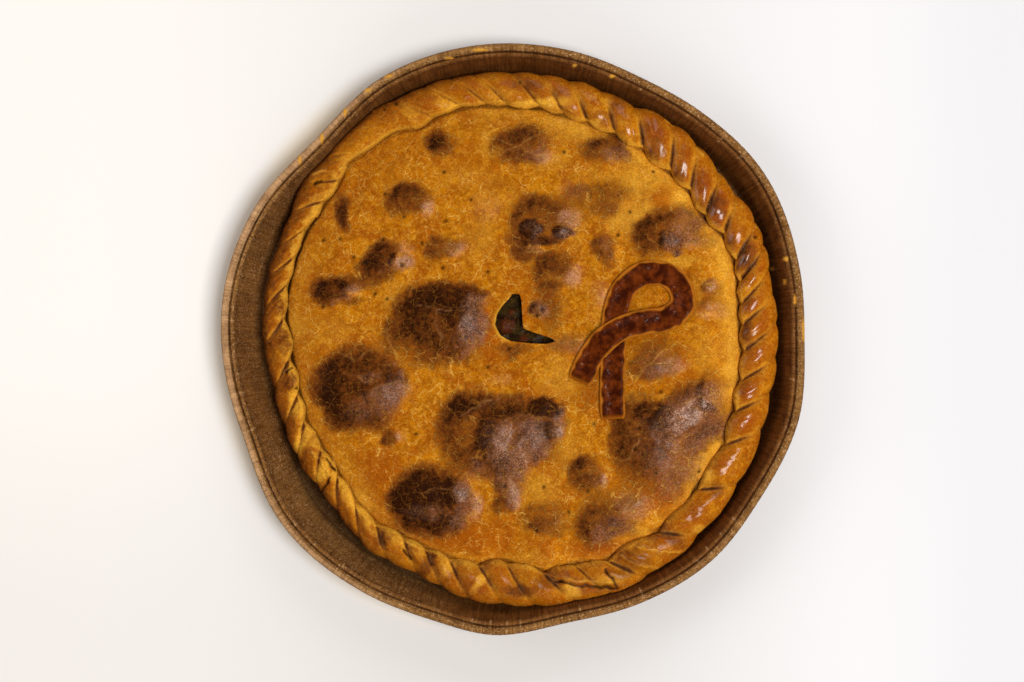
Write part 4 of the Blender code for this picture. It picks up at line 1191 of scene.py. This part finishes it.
def make_rope(sizes):
    """Bottom dough with its side wall and the twisted rope edge."""
    table = rope_rows()
    bm, degrees, index = ring_mesh(sizes.rope_turns, len(table))
    share, z, groove, hang = table[index].T
    bare = np.clip(share, 0, 1)
    seam = closed_curve(SEAM_CURVE, degrees)
    upper_right = smooth(0.80, 0.98, np.cos(np.radians(degrees - 24)))
    rim = closed_curve(RIM_CURVE, degrees) + 0.0016 * upper_right
    across, depth, width = fold_fields(degrees, bare)
    round_top = np.sin(np.pi * across)
    near = np.minimum(across, 1 - across) * width * DEGREE_LENGTH
    cut = fading(near, 0.0012)
    z = z - groove * depth * (FOLD_DEPTH * (1 - round_top ** 0.6) + 0.0008 * cut)
    z = z + groove * 0.0007 * noise_along(degrees, 9.0, 47)
    bulge = round_top ** 0.8 * depth * np.minimum(width / 7, 1.3)
    radius = seam + np.maximum(share, 0) * (rim - seam)
    radius = radius + hang * (0.0011 - 0.0036 * bulge)
    radius = radius + smooth(0.7, 1.0, share) * 0.0016 * (bulge - 0.5)
    radius = np.where(share < 0, seam + share * 0.0190, radius)
    radius = np.where(share <= -0.999, 0.0, radius)
    a = np.radians(degrees)
    x, y = PIE_CENTRE[0] + radius * np.cos(a), PIE_CENTRE[1] + radius * np.sin(a)
    radius = radius + smooth(0.6, 1.0, share) * 0.0007 * rough_noise(x, y, 0.012, 51)
    x, y = PIE_CENTRE[0] + radius * np.cos(a), PIE_CENTRE[1] + radius * np.sin(a)
    skin = smooth(0.0, 0.1, share) * smooth(0.0155, 0.0215, z)
    along = (degrees - GROOVE_SLANT * bare) * DEGREE_LENGTH
    lengthwise = noise(along, bare * 0.006, 0.0022, 61)
    z = z + skin * (0.00045 * rough_noise(x, y, 0.011, 53) + 0.00022 * lengthwise
                    + 0.00014 * rough_noise(x, y, 0.0035, 57))
    west = smooth(0.2, 0.8, np.cos(a - math.radians(192)))
    z = z + skin * west * 0.0010 * rough_noise(x, y, 0.009, 59)
    split, ridge = np.zeros(x.shape), np.zeros(x.shape)
    wx = x + 0.0009 * noise(x, y, 0.0028, 63)
    wy = y + 0.0009 * noise(x, y, 0.0028, 65)
    for run in ROPE_SPLITS:
        split = np.maximum(split, fading(line_distance(wx, wy, [spot(*p) for p in run]), SPLIT_WIDTH))
    for run in ROPE_RIDGES:
        ridge = np.maximum(ridge, fading(line_distance(wx, wy, [spot(*p) for p in run]), RIDGE_WIDTH))
    z = z + skin * (RIDGE_HEIGHT * ridge - SPLIT_DEPTH * split)
    x, y, z = inside_mould(x, y, z)
    facing, hollow = ring_relief(x, y, z, degrees, index)
    # painted shade in the splits; the burnt dots are dark in their own colour
    dark = 0.9 * split * skin
    for px, py, size in BURNT_DOTS:
        cx, cy = spot(px, py)
        dark = np.maximum(dark, fading(np.hypot(x - cx, y - cy), size * 0.5 * PIXEL))
    # pale beside each fold, with painted shade in it and in the hollows
    fold = depth * smooth(0.0, 0.12, bare) * smooth(0.95, 0.5, bare)
    pale = np.maximum(fold * fading(near - 0.0013, 0.0010) * 0.6, ridge * 0.9 * skin)
    inner = smooth(0.80, 0.25, bare + 0.12 * noise_along(degrees, 5.0, 77))
    shade = (fold * fading(near, 0.0007) * 0.55 + 0.42 * hollow * fold) * inner
    # redder and glossier on the top of each fold; painted shade where it turns from the main light and on
    # the pie's side away from it
    sunny = 0.5 + 0.5 * np.cos(a - math.radians(20))
    patch = smooth(-0.45, 0.55, rough_noise(x, y, 0.013, 71))
    core = round_top ** 1.5 * smooth(0.02, 0.2, bare) * smooth(1.0, 0.6, bare)
    tinted = patches(wx, wy, [(px, py, rx, ry, 0, s, 0.6) for px, py, rx, ry, s in MAHOGANY])
    fair = patches(wx, wy, [(*row, 0.6) for row in ROPE_FAIR]) * skin
    baked = patches(wx, wy, [(*row, 0.6) for row in ROPE_BROWN]) * skin
    flank = smooth(0.80, 1.0, bare)
    tip = west * smooth(0.42, 0.05, bare + 0.20 * noise(x, y, 0.002, 67))
    away = np.clip(-facing, 0, 1)
    browned_and_shaded = (shade + flank * 0.20 + 0.34 * away + 0.50 * tinted + 0.03 + 0.22 * (1 - sunny) + baked
               - 0.3 * fair)
    margin = (np.maximum(0.9 * tip, fair) + smooth(0.16, 0.0, bare) * 0.7
              + 0.35 * fold * smooth(0.0034, 0.0012, near))
    redness = (0.25 + 0.75 * core) * patch * (0.45 + 0.4 * sunny) + tinted
    gloss = 0.04 + 0.96 * core ** 1.6 * smooth(0.1, 0.6, depth) + 0.6 * tinted
    fields = {"brown": browned_and_shaded, "pale": pale, "burns_and_crack_shade": dark, "margin": margin, "red": redness, "gloss": gloss}
    fields = {name: np.clip(values, 0, 1) for name, values in fields.items()}
    fields["gloss"] = fields["gloss"] * closed_curve(ROPE_GLOSS, degrees)
    fields["lit"] = np.clip(facing, 0, 1) * skin
    move_to(bm, x, y, z)
    add_fields(bm, fields)
    bmesh.ops.remove_doubles(bm, verts=bm.verts, dist=MERGE_DISTANCE)
    bmesh.ops.recalc_face_normals(bm, faces=bm.faces)
    return bm


def tray_wall(degrees, z):
    """Radius of the mould's inner wall at a height."""
    top = closed_curve(TRAY_OUTLINE, degrees) - WALL_INSET
    return top - np.maximum(0.0, WALL_TOP - z) * np.tan(np.radians(closed_curve(WALL_FLARE, degrees)))


def inside_mould(x, y, z):
    """Keeps the dough clear of the paper."""
    dx, dy = x - TRAY_SHIFT[0], y - TRAY_SHIFT[1]
    radius = np.maximum(np.hypot(dx, dy), 1e-9)
    limit = tray_wall(np.degrees(np.arctan2(dy, dx)), z) - PAPER_GAP
    keep = np.minimum(radius, limit) / radius
    return TRAY_SHIFT[0] + dx * keep, TRAY_SHIFT[1] + dy * keep, z


def make_tray(sizes):
    """Ribbed paper wall with its shoulder, pressed groove and rolled bead."""
    height, paper, bead, shoulder = sizes.tray_height, PAPER, BEAD, SHOULDER
    # inset from the outline, share of the wall's flare, height, share of the rim's tan, depth of the ribs
    key_rows = (
        (FLOOR_INSET, 0, 0.0, 0, 0), (shoulder + 0.0005, 1, 0.0, 0, 0), (shoulder - 0.0010, 1, 0.0012, 0, 1),
        (shoulder - paper, 0, height - 0.0056, 0, 1), (bead * 0.62, 0, height - 0.0060, .6, .5),
        (bead * 0.16, 0, height - 0.0046, .8, .3), (0.0, 0, height - 0.0026, .7, .3),
        (bead * 0.16, 0, height - 0.0008, 1, .35), (bead * 0.50, 0, height, 1, .35),
        (bead * 0.86, 0, height - 0.0006, .8, .3), (bead * 1.08, 0, height - 0.0024, .0, .2),
        (bead * 1.24, 0, height - 0.0012, .30, .3), (bead * 1.45, 0, height - 0.0012, .25, .4),
        (shoulder + 0.0004, 0, height - 0.0036, 0, .8),
        (shoulder + 0.0001, .72, 0.28 * (height - 0.0036) + 0.72 * (paper + 0.0014), 0, .95),
        (shoulder, 1, paper + 0.0014, .5, 1),
        (shoulder + 0.0018, 1, paper, .85, .2), (FLOOR_INSET, 0, paper, .85, 0),
    )
    steps = (2, 2, 6, 2, 2, 2, 3, 3, 3, 3, 3, 2, 3, 6, 3, 2, 3)
    rows = []
    for first, second, count in zip(key_rows, key_rows[1:], steps):
        for n in range(count):
            rows.append([a + (b - a) * n / count for a, b in zip(first, second)])
    rows.append(list(key_rows[-1]))
    table = np.array(rows)
    bm, degrees, index = ring_mesh(sizes.tray_turns, len(rows))
    inset, lean, z, tan, ribs = table[index].T
    drop = (height - 0.003) * np.tan(np.radians(closed_curve(WALL_FLARE, degrees)))
    radius = closed_curve(TRAY_OUTLINE, degrees) - inset - lean * drop
    middle = inset > 0.9 * FLOOR_INSET
    a = np.radians(degrees)
    wave = np.sin(a * 236 + 3.0 * noise_along(a, 0.25, 81)) * (0.55 + 0.45 * noise_along(a, 0.06, 83))
    radius = radius + ribs * 0.00022 * wave * np.where(z < height - 0.004, 1.0, 0.5)
    z = z + np.where(tan > 0.05, 0.00012 * wave + 0.00030 * noise_along(a, 0.09, 87), 0) * (z > paper * 2)
    radius = np.where(middle, 0.0, radius)
    x = TRAY_SHIFT[0] + radius * np.cos(a)
    y = TRAY_SHIFT[1] + radius * np.sin(a)
    stain = np.zeros(x.shape)
    for px, py, rx, ry in WASH_STAINS:
        cx, cy = spot(px, py)
        d = np.hypot((x - cx) / (rx * PIXEL), (y - cy) / (ry * PIXEL))
        stain = np.maximum(stain, smooth(1.1, 0.5, d + 0.5 * rough_noise(x, y, 0.002, 91)))
    stain = stain * (z > 0.008)
    move_to(bm, x, y, z)
    top = z > height - 0.0062
    # painted shade in the creases inside the bead, at the shoulder, along the bead's outside and on its
    # crest
    inner = fading(inset - bead * 1.06, 0.00045) + 0.8 * fading(inset - shoulder, 0.0004)
    outer = 0.7 * smooth(0.0005, 0.0, inset)
    fine = 0.45 * fading(inset - bead * 0.72 - 0.0004 * noise_along(a, 0.3, 93), 0.00018)
    # painted light on the left: the rim's left flank and the floor strip beside the rope there are made
    # paler
    west = smooth(-0.2, 0.85, np.cos(a - math.radians(196)))
    tan = np.where(inset > shoulder + 0.0015, tan * closed_curve(FLOOR_TAN_AND_SHADOW, degrees) + 0.65 * west,
                   (tan + 0.30 * west) * closed_curve(RIM_TAN_AND_LIGHT, degrees))
    tan = tan + 0.25 * smooth(0.8, 1.0, np.cos(a - math.radians(226))) * (inset > shoulder)
    tan = np.clip(tan, 0, 1.3)
    # painted shadow line along the wall's foot where the floor beside the rope is painted darker
    foot = (1 - closed_curve(FLOOR_TAN_AND_SHADOW, degrees)) * (inset > shoulder - 0.0002) * ~middle
    foot = foot * smooth(paper + 0.0070, paper + 0.0005, z) * (z > paper * 0.9)
    crease_shade = np.clip(inner + outer + fine, 0, 1) * top * (0.7 + 0.3 * noise_along(a, 0.05, 95))
    crease_shade = np.maximum(crease_shade, 0.75 * np.clip(foot, 0, 1))
    scuff = np.zeros(x.shape)
    for turn in RIM_SCUFFS:
        gap = np.mod(degrees - turn + 180, 360) - 180
        gap = gap - 0.25 * noise(inset, inset * 0 + turn, 0.003, 97)
        scuff = np.maximum(scuff, fading(gap, 0.16))
    worn = smooth(-0.15, 0.5, noise(degrees, inset * 4000, 1.3, 99))
    scuff = scuff * worn * (inset < shoulder) * (z > height - 0.004) * 0.75
    add_fields(bm, {"tan": tan, "stain": stain, "crease_shade": crease_shade, "scuff": scuff})
    bmesh.ops.remove_doubles(bm, verts=bm.verts, dist=MERGE_DISTANCE)
    bmesh.ops.recalc_face_normals(bm, faces=bm.faces)
    return bm


def make_filling(sizes):
    """Drum of filling whose top shows through the vent, lumpy with chopped octopus and onion."""
    low = DOUGH_LOW + DOUGH_FLOOR + 0.0004
    bm, u, v = disc_mesh(sizes.filling_cells)
    degrees = np.degrees(np.arctan2(v, u))
    radius = np.hypot(u, v) * (closed_curve(SEAM_CURVE, degrees) - 0.0068)
    x = PIE_CENTRE[0] + radius * np.cos(np.radians(degrees))
    y = PIE_CENTRE[1] + radius * np.sin(np.radians(degrees))
    z = lid_sheet(x, y)[0] - sizes.lid_thickness - 0.0040
    z = z + 0.0013 * rough_noise(x, y, 0.007, 101) + 0.0007 * rough_noise(x, y, 0.002, 105)
    octopus = np.zeros(x.shape)
    for px, py, size in OCTOPUS_PIECES:
        d = oval(x, y, px, py, size, size)
        z = z + 0.0016 * np.sqrt(np.clip(1 - d * d, 0, None))
        octopus = np.maximum(octopus, smooth(1.3, 0.5, d + 0.6 * rough_noise(x, y, 0.002, 107)))
    move_to(bm, x, y, np.minimum(z, LID_EDGE + 0.004))
    add_fields(bm, {"octopus": octopus})
    wall = [e for e in bm.edges if e.is_boundary]
    made = bmesh.ops.extrude_edge_only(bm, edges=wall)["geom"]
    for vert in made:
        if isinstance(vert, bmesh.types.BMVert):
            vert.co.z = low
    bmesh.ops.holes_fill(bm, edges=[e for e in bm.edges if e.is_boundary], sides=0)
    bmesh.ops.recalc_face_normals(bm, faces=bm.faces)
    # extruding leaves the wall in no set order; sorted along a slanted line it is the same on every run
    slant = Vector((1.0, 0.618, 0.273))
    bm.verts.sort(key=lambda vert: vert.co.dot(slant))
    bm.faces.sort(key=lambda face: face.calc_center_median().dot(slant))
    return bm


def make_ribbon(sizes):
    """Looped ribbon of dough: a round bar drawn along the centre line and pressed flat."""
    points = [Vector((*spot(*p), 0)) for p in RIBBON]
    length = np.cumsum([0] + [(b - a).length for a, b in zip(points, points[1:])])
    bm = bmesh.new()
    bmesh.ops.create_cone(bm, cap_ends=True, segments=RIBBON_SIDES, radius1=1, radius2=1, depth=1.0)
    upright = [e for e in bm.edges if abs(e.verts[0].co.z - e.verts[1].co.z) > 0.5]
    bmesh.ops.subdivide_edges(bm, edges=upright, cuts=sizes.ribbon_rows, use_grid_fill=True)
    co = np.array([v.co[:] for v in bm.verts])
    along = (co[:, 2] + 0.5) * length[-1]
    px = np.array([p.x for p in points])
    py = np.array([p.y for p in points])
    cx, cy = spline(length, px, along), spline(length, py, along)
    step = 1e-4
    ahead, behind = np.minimum(along + step, length[-1]), np.maximum(along - step, 0)
    tx = spline(length, px, ahead) - spline(length, px, behind)
    ty = spline(length, py, ahead) - spline(length, py, behind)
    size = np.hypot(tx, ty)
    tx, ty = tx / size, ty / size
    side, up = co[:, 0], co[:, 1]
    turn = np.arctan2(up, side)
    flat = np.sign(np.cos(turn)) * np.abs(np.cos(turn)) ** 0.55
    rise = np.where(up > 0, np.abs(np.sin(turn)) ** 0.5, 0.0)
    tip = np.minimum(along, length[-1] - along)
    taper = 0.90 + 0.10 * smooth(0, 0.004, tip)
    half = sizes.ribbon_width / 2 * taper * (1 + 0.03 * noise_along(along, 0.012, 111))
    x = cx - ty * flat * half
    y = cy + tx * flat * half
    thick = sizes.ribbon_thickness * (0.55 + 0.45 * smooth(0, 0.003, tip))
    trough = 0.16 * np.exp(-(flat / 0.62) ** 4)
    foot = lid_sheet(x, y)[0] + 0.0006
    # the second tail lies over the first where they cross
    cross = length[-4]
    lift = 0.0030 * smooth(cross - 0.034, cross - 0.012, along)
    lift = lift * (1 - smooth(cross + 0.012, cross + 0.024, along))
    z = foot + lift + thick * (rise - trough * (up > 0))
    z = z + 0.00012 * rough_noise(x, y, 0.006, 113) * (up > 0)
    move_to(bm, x, y, z)
    ragged = 0.10 * noise(x, y, 0.0035, 117)
    edge = smooth(0.74, 0.92, np.abs(flat) + ragged) * (up > 0)
    add_fields(bm, {"edge": edge, "end": smooth(0.003, 0.0, tip)})
    bmesh.ops.recalc_face_normals(bm, faces=bm.faces)
    return bm


class EmpanadaSizes(bpy.types.PropertyGroup):
    """Sizes of the pie's pieces and how finely they are meshed."""

    lid_thickness: bpy.props.FloatProperty(
        name="Lid Thickness", description="Thickness of the rolled top dough", default=0.0030,
        min=0.001, max=0.006, unit="LENGTH")
    tray_height: bpy.props.FloatProperty(
        name="Mould Height", description="Height of the paper mould's rolled rim", default=0.0300,
        min=0.02, max=0.05, unit="LENGTH")
    ribbon_width: bpy.props.FloatProperty(
        name="Ribbon Width", description="Width of the dough ribbon", default=0.0148,
        min=0.005, max=0.03, unit="LENGTH")
    ribbon_thickness: bpy.props.FloatProperty(
        name="Ribbon Thickness", description="Thickness of the dough ribbon", default=0.0032,
        min=0.001, max=0.006, unit="LENGTH")
    lid_cells: bpy.props.IntProperty(
        name="Lid Cells", description="Quads across the lid", default=300, min=60, max=300)
    filling_cells: bpy.props.IntProperty(
        name="Filling Cells", description="Quads across the filling", default=180, min=40, max=240)
    rope_turns: bpy.props.IntProperty(
        name="Rope Steps", description="Steps round the rope edge", default=1400, min=360, max=1600)
    tray_turns: bpy.props.IntProperty(
        name="Mould Steps", description="Steps round the paper mould", default=1440, min=360, max=1600)
    ribbon_rows: bpy.props.IntProperty(
        name="Ribbon Rows", description="Cuts along the ribbon", default=260, min=60, max=400)


class EmpanadaColours(bpy.types.PropertyGroup):
    """Main colours of the baked crust and the paper."""

    golden: bpy.props.FloatVectorProperty(
        name="Golden Crust", description="Plain baked crust", subtype="COLOR", size=3,
        default=GOLDEN_CRUST, min=0, max=1)
    pale: bpy.props.FloatVectorProperty(
        name="Pale Margin", description="Less baked margin and wrinkles", subtype="COLOR", size=3,
        default=PALE_DOUGH, min=0, max=1)
    brown: bpy.props.FloatVectorProperty(
        name="Browned Crust", description="Flanks of the blisters", subtype="COLOR", size=3,
        default=BROWN_CRUST, min=0, max=1)
    dark: bpy.props.FloatVectorProperty(
        name="Darkest Crust", description="Tops of the darkest blisters", subtype="COLOR", size=3,
        default=DARK_CRUST, min=0, max=1)
    ribbon: bpy.props.FloatVectorProperty(
        name="Ribbon Glaze", description="Dark glazed middle of the ribbon", subtype="COLOR", size=3,
        default=RIBBON_GLAZE, min=0, max=1)
    paper: bpy.props.FloatVectorProperty(
        name="Mould Wall", description="Brown paper of the wall", subtype="COLOR", size=3,
        default=WALL_PAPER, min=0, max=1)
    rim: bpy.props.FloatVectorProperty(
        name="Mould Rim", description="Tan paper of the rolled rim", subtype="COLOR", size=3,
        default=RIM_TAN_PAPER, min=0, max=1)
    floor: bpy.props.FloatVectorProperty(
        name="Floor", description="Pale studio floor", subtype="COLOR", size=3,
        default=FLOOR_PALE, min=0, max=1)


def dough_colours(colours):
    """The dough group's colours that a user can change."""
    return {"Golden Colour": colours.golden, "Pale Colour": colours.pale, "Brown Colour": colours.brown,
            "Dark Colour": colours.dark}


def shared_group(name, maker, *given):
    """A node group built once and then shared."""
    return bpy.data.node_groups.get(name) or maker(*given)


def dough_group():
    """The baked dough group, with the crackled skin in it."""
    return shared_group("baked_dough", baked_group, shared_group("crackled_skin", crackle_group))


class EMPANADA_OT_tray(bpy.types.Operator):
    """Make the ribbed paper mould"""

    bl_idname = "empanada.tray"
    bl_label = "Paper Mould"

    def execute(self, context):
        colours = context.scene.empanada_colours
        material, tree, shader, where = shaded_material("brown_baking_paper", 0.6, 0.03)
        paper = new_node(tree, "ShaderNodeGroup", node_tree=shared_group("baking_paper", paper_group))
        feed(tree, paper.inputs["Vector"], where)
        for socket, field in (("Rim", "tan"), ("Stain", "stain"), ("Crease Shade", "crease_shade"), ("Scuff", "scuff")):
            feed(tree, paper.inputs[socket], attribute(tree, field))
        paper.inputs["Rim Colour"].default_value = (*colours.rim, 1)
        paper.inputs["Wall Colour"].default_value = (*colours.paper, 1)
        feed(tree, shader.inputs["Base Color"], paper.outputs["Colour"])
        feed(tree, shader.inputs["Roughness"], paper.outputs["Roughness"])
        bump(tree, shader, paper.outputs["Height"], 0.0003)
        bm = make_tray(context.scene.empanada_sizes)
        place_piece("paper_mould", bm, material, ["tray"])
        return {"FINISHED"}


class EMPANADA_OT_base(bpy.types.Operator):
    """Make the bottom dough and its rope edge"""

    bl_idname = "empanada.base"
    bl_label = "Bottom Dough and Rope Edge"

    def execute(self, context):
        colours = context.scene.empanada_colours
        material = baked_material(
            "baked_rope", colours,
            {"Browning and Shade": "brown", "Margin": "margin", "Wrinkle": "pale", "Burns and Crack Shade": "burns_and_crack_shade", "Redness": "red",
             "Gloss": "gloss", "Lit": "lit"}, crackle=0.30, relief=0.0003, coat_roughness=0.17)
        bm = make_rope(context.scene.empanada_sizes)
        place_piece("rope_and_base", bm, material, ["base_crust"])
        return {"FINISHED"}


class EMPANADA_OT_filling(bpy.types.Operator):
    """Make the octopus filling"""

    bl_idname = "empanada.filling"
    bl_label = "Filling"

    def execute(self, context):
        material, tree, shader, where = shaded_material("octopus_stew", 0.50, 0.03, 0.02, 0.15)
        lumps = noise_node(tree, where, 210.0, 4.0, 0.6)
        strands = noise_node(tree, where, 620.0, 3.0, 0.6, 1.5)
        colour = mix_colours(tree, remap(tree, lumps, 0.40, 0.62), STEW_DARK, STEW_LIGHT)
        colour = mix_colours(tree, attribute(tree, "octopus"), colour, OCTOPUS_SKIN)
        colour = mix_colours(tree, remap(tree, strands, 0.56, 0.74, 0.0, 0.85), colour, ONION_STRANDS)
        feed(tree, shader.inputs["Base Color"], colour)
        bump(tree, shader, strands, 0.0010)
        bm = make_filling(context.scene.empanada_sizes)
        place_piece("octopus_filling", bm, material, ["filling"])
        return {"FINISHED"}


class EMPANADA_OT_lid(bpy.types.Operator):
    """Make the blistered lid with its vent"""

    bl_idname = "empanada.lid"
    bl_label = "Blistered Lid"

    def execute(self, context):
        colours = context.scene.empanada_colours
        material = baked_material(
            "baked_lid", colours,
            {"Browning and Shade": "brown", "Margin": "margin", "Wrinkle": "pale", "Burns and Crack Shade": "burns_and_crack_shade", "Redness": "red",
             "Satin": "painted_sheen_and_gloss", "Lit": "lit"}, relief=0.0006)
        bm = make_lid(context.scene.empanada_sizes)
        place_piece("blistered_lid", bm, material, ["lid"])
        return {"FINISHED"}


class EMPANADA_OT_ribbon(bpy.types.Operator):
    """Make the looped ribbon of dough"""

    bl_idname = "empanada.ribbon"
    bl_label = "Dough Ribbon"

    def execute(self, context):
        colours = context.scene.empanada_colours
        material, tree, shader, where = shaded_material("glazed_ribbon", 0.55, 0.01, 0.0, 0.10)
        streaks = noise_node(tree, where, 190.0, 4.0, 0.6, 0.2)
        grain = noise_node(tree, where, 1300.0, 2.0, 0.6)
        middle = mix_colours(tree, remap(tree, streaks, 0.36, 0.72), tuple(colours.ribbon), RIBBON_AMBER)
        colour = mix_colours(tree, attribute(tree, "edge"), middle, RIBBON_EDGE)
        ends = math_node(tree, "MULTIPLY", attribute(tree, "end"), 0.6)
        colour = mix_colours(tree, ends, colour, RIBBON_END)
        feed(tree, shader.inputs["Base Color"], colour)
        flecks = noise_node(tree, where, 520.0, 4.0, 0.75, 0.6)
        glaze = remap(tree, flecks, 0.58, 0.66, 0.006, 0.22)
        feed(tree, shader.inputs["Coat Weight"], glaze)
        bump(tree, shader, grain, 0.00030)
        bm = make_ribbon(context.scene.empanada_sizes)
        place_piece("dough_ribbon", bm, material, ["ribbon"])
        return {"FINISHED"}


def area_light(name, energy, size, place, colour):
    """Large soft light aimed at the pie."""
    data = bpy.data.lights.new(name, "AREA")
    data.energy = energy
    data.shape = "RECTANGLE"
    data.size, data.size_y = size
    data.color = colour
    light = bpy.data.objects.new(name, data)
    bpy.context.scene.collection.objects.link(light)
    light.location = place
    light.rotation_euler = (Vector(LIGHT_TARGET) - Vector(place)).to_track_quat("-Z", "Y").to_euler()


def floor_material(pale):
    """Pale floor, painted a little darker in front and in the middle as the light falls off, and painted
    warm beside the left of the mould as light bounced from the paper.
    """
    material, tree, shader, where = shaded_material("pale_floor", 0.7, 0.2)
    parts = new_node(tree, "ShaderNodeSeparateXYZ")
    feed(tree, parts.inputs[0], where)
    across = remap(tree, parts.outputs["X"], -0.30, 0.18)
    low = remap(tree, parts.outputs["Y"], 0.02, -0.18, 0.0, 0.9)
    colour = mix_colours(tree, low, pale, FLOOR_FRONT)
    colour = mix_colours(tree, across, colour, FLOOR_RIGHT)
    colour = mix_colours(tree, remap(tree, parts.outputs["X"], 0.19, 0.29), colour, FLOOR_FAR_RIGHT)
    middle = remap(tree, math_node(tree, "ABSOLUTE", parts.outputs["X"]), 0.26, 0.0)
    near = remap(tree, parts.outputs["Y"], 0.15, -0.20, 0.45, 0.75)
    colour = mix_colours(tree, math_node(tree, "MULTIPLY", middle, near), colour, FLOOR_MIDDLE)
    flat = new_node(tree, "ShaderNodeCombineXYZ")
    for axis in "XY":
        feed(tree, flat.inputs[axis], parts.outputs[axis])
    radius = new_node(tree, "ShaderNodeVectorMath", operation="LENGTH")
    feed(tree, radius.inputs[0], flat.outputs[0])
    # painted warm bounce light in the shadow beside the mould's left side
    close = math_node(tree, "MULTIPLY", remap(tree, radius.outputs["Value"], 0.184, 0.166),
                      remap(tree, parts.outputs["X"], -0.02, -0.12))
    colour = mix_colours(tree, close, colour, PAINTED_WARM_BOUNCE)
    feed(tree, shader.inputs["Base Color"], colour)
    return material


class EMPANADA_OT_stage(bpy.types.Operator):
    """Make the pale floor, the soft lights and the overhead camera"""

    bl_idname = "empanada.stage"
    bl_label = "Floor, Lights and Camera"

    def execute(self, context):
        scene = context.scene
        bm = bmesh.new()
        bmesh.ops.create_grid(bm, x_segments=2, y_segments=2, size=FLOOR_HALF)
        mesh = bpy.data.meshes.new("studio_floor")
        bm.to_mesh(mesh)
        bm.free()
        mesh.materials.append(floor_material(tuple(scene.empanada_colours.floor)))
        floor = bpy.data.objects.new("studio_floor", mesh)
        scene.collection.objects.link(floor)

        for light in LIGHTS:
            area_light(*light)
        world = bpy.data.worlds.new("studio")
        world.use_nodes = True
        background = world.node_tree.nodes["Background"]
        background.inputs["Color"].default_value = WORLD_COLOUR
        background.inputs["Strength"].default_value = WORLD_STRENGTH
        scene.world = world
        scene.view_settings.view_transform = "Standard"

        data = bpy.data.cameras.new("overhead_camera")
        data.sensor_width = SENSOR_WIDTH
        data.lens = SENSOR_WIDTH * CAMERA_HEIGHT / (PHOTO_WIDTH * PIXEL)
        data.clip_start = 0.05
        data.clip_end = 10.0
        camera = bpy.data.objects.new("overhead_camera", data)
        scene.collection.objects.link(camera)
        camera.location = (*spot(*CAMERA_PIXEL), SCALE_HEIGHT + CAMERA_HEIGHT)
        scene.camera = camera
        return {"FINISHED"}


class EMPANADA_PT_panel(bpy.types.Panel):
    """Buttons that build the pie piece by piece"""

    bl_idname = "EMPANADA_PT_panel"
    bl_label = "Octopus Empanada"
    bl_space_type = "VIEW_3D"
    bl_region_type = "UI"
    bl_category = "Empanada"

    def draw(self, context):
        layout = self.layout
        for operator in BUILD_ORDER:
            layout.operator(operator.bl_idname)
        for group in (context.scene.empanada_sizes, context.scene.empanada_colours):
            box = layout.box()
            for name in group.__annotations__:
                box.prop(group, name)


BUILD_ORDER = (EMPANADA_OT_tray, EMPANADA_OT_base, EMPANADA_OT_filling, EMPANADA_OT_lid,
               EMPANADA_OT_ribbon, EMPANADA_OT_stage)
CLASSES = (EmpanadaSizes, EmpanadaColours, *BUILD_ORDER, EMPANADA_PT_panel)


def register():
    """Adds the settings, the buttons and the panel."""
    for cls in CLASSES:
        bpy.utils.register_class(cls)
    bpy.types.Scene.empanada_sizes = bpy.props.PointerProperty(type=EmpanadaSizes)
    bpy.types.Scene.empanada_colours = bpy.props.PointerProperty(type=EmpanadaColours)


def unregister():
    """Takes them away again."""
    del bpy.types.Scene.empanada_colours
    del bpy.types.Scene.empanada_sizes
    for cls in reversed(CLASSES):
        bpy.utils.unregister_class(cls)


def main():
    """Builds the pie and its stage in order."""
    register()
    bpy.ops.empanada.tray()
    bpy.ops.empanada.base()
    bpy.ops.empanada.filling()
    bpy.ops.empanada.lid()
    bpy.ops.empanada.ribbon()
    bpy.ops.empanada.stage()
    bpy.context.view_layer.update()


if __name__ == "__main__":
    main()
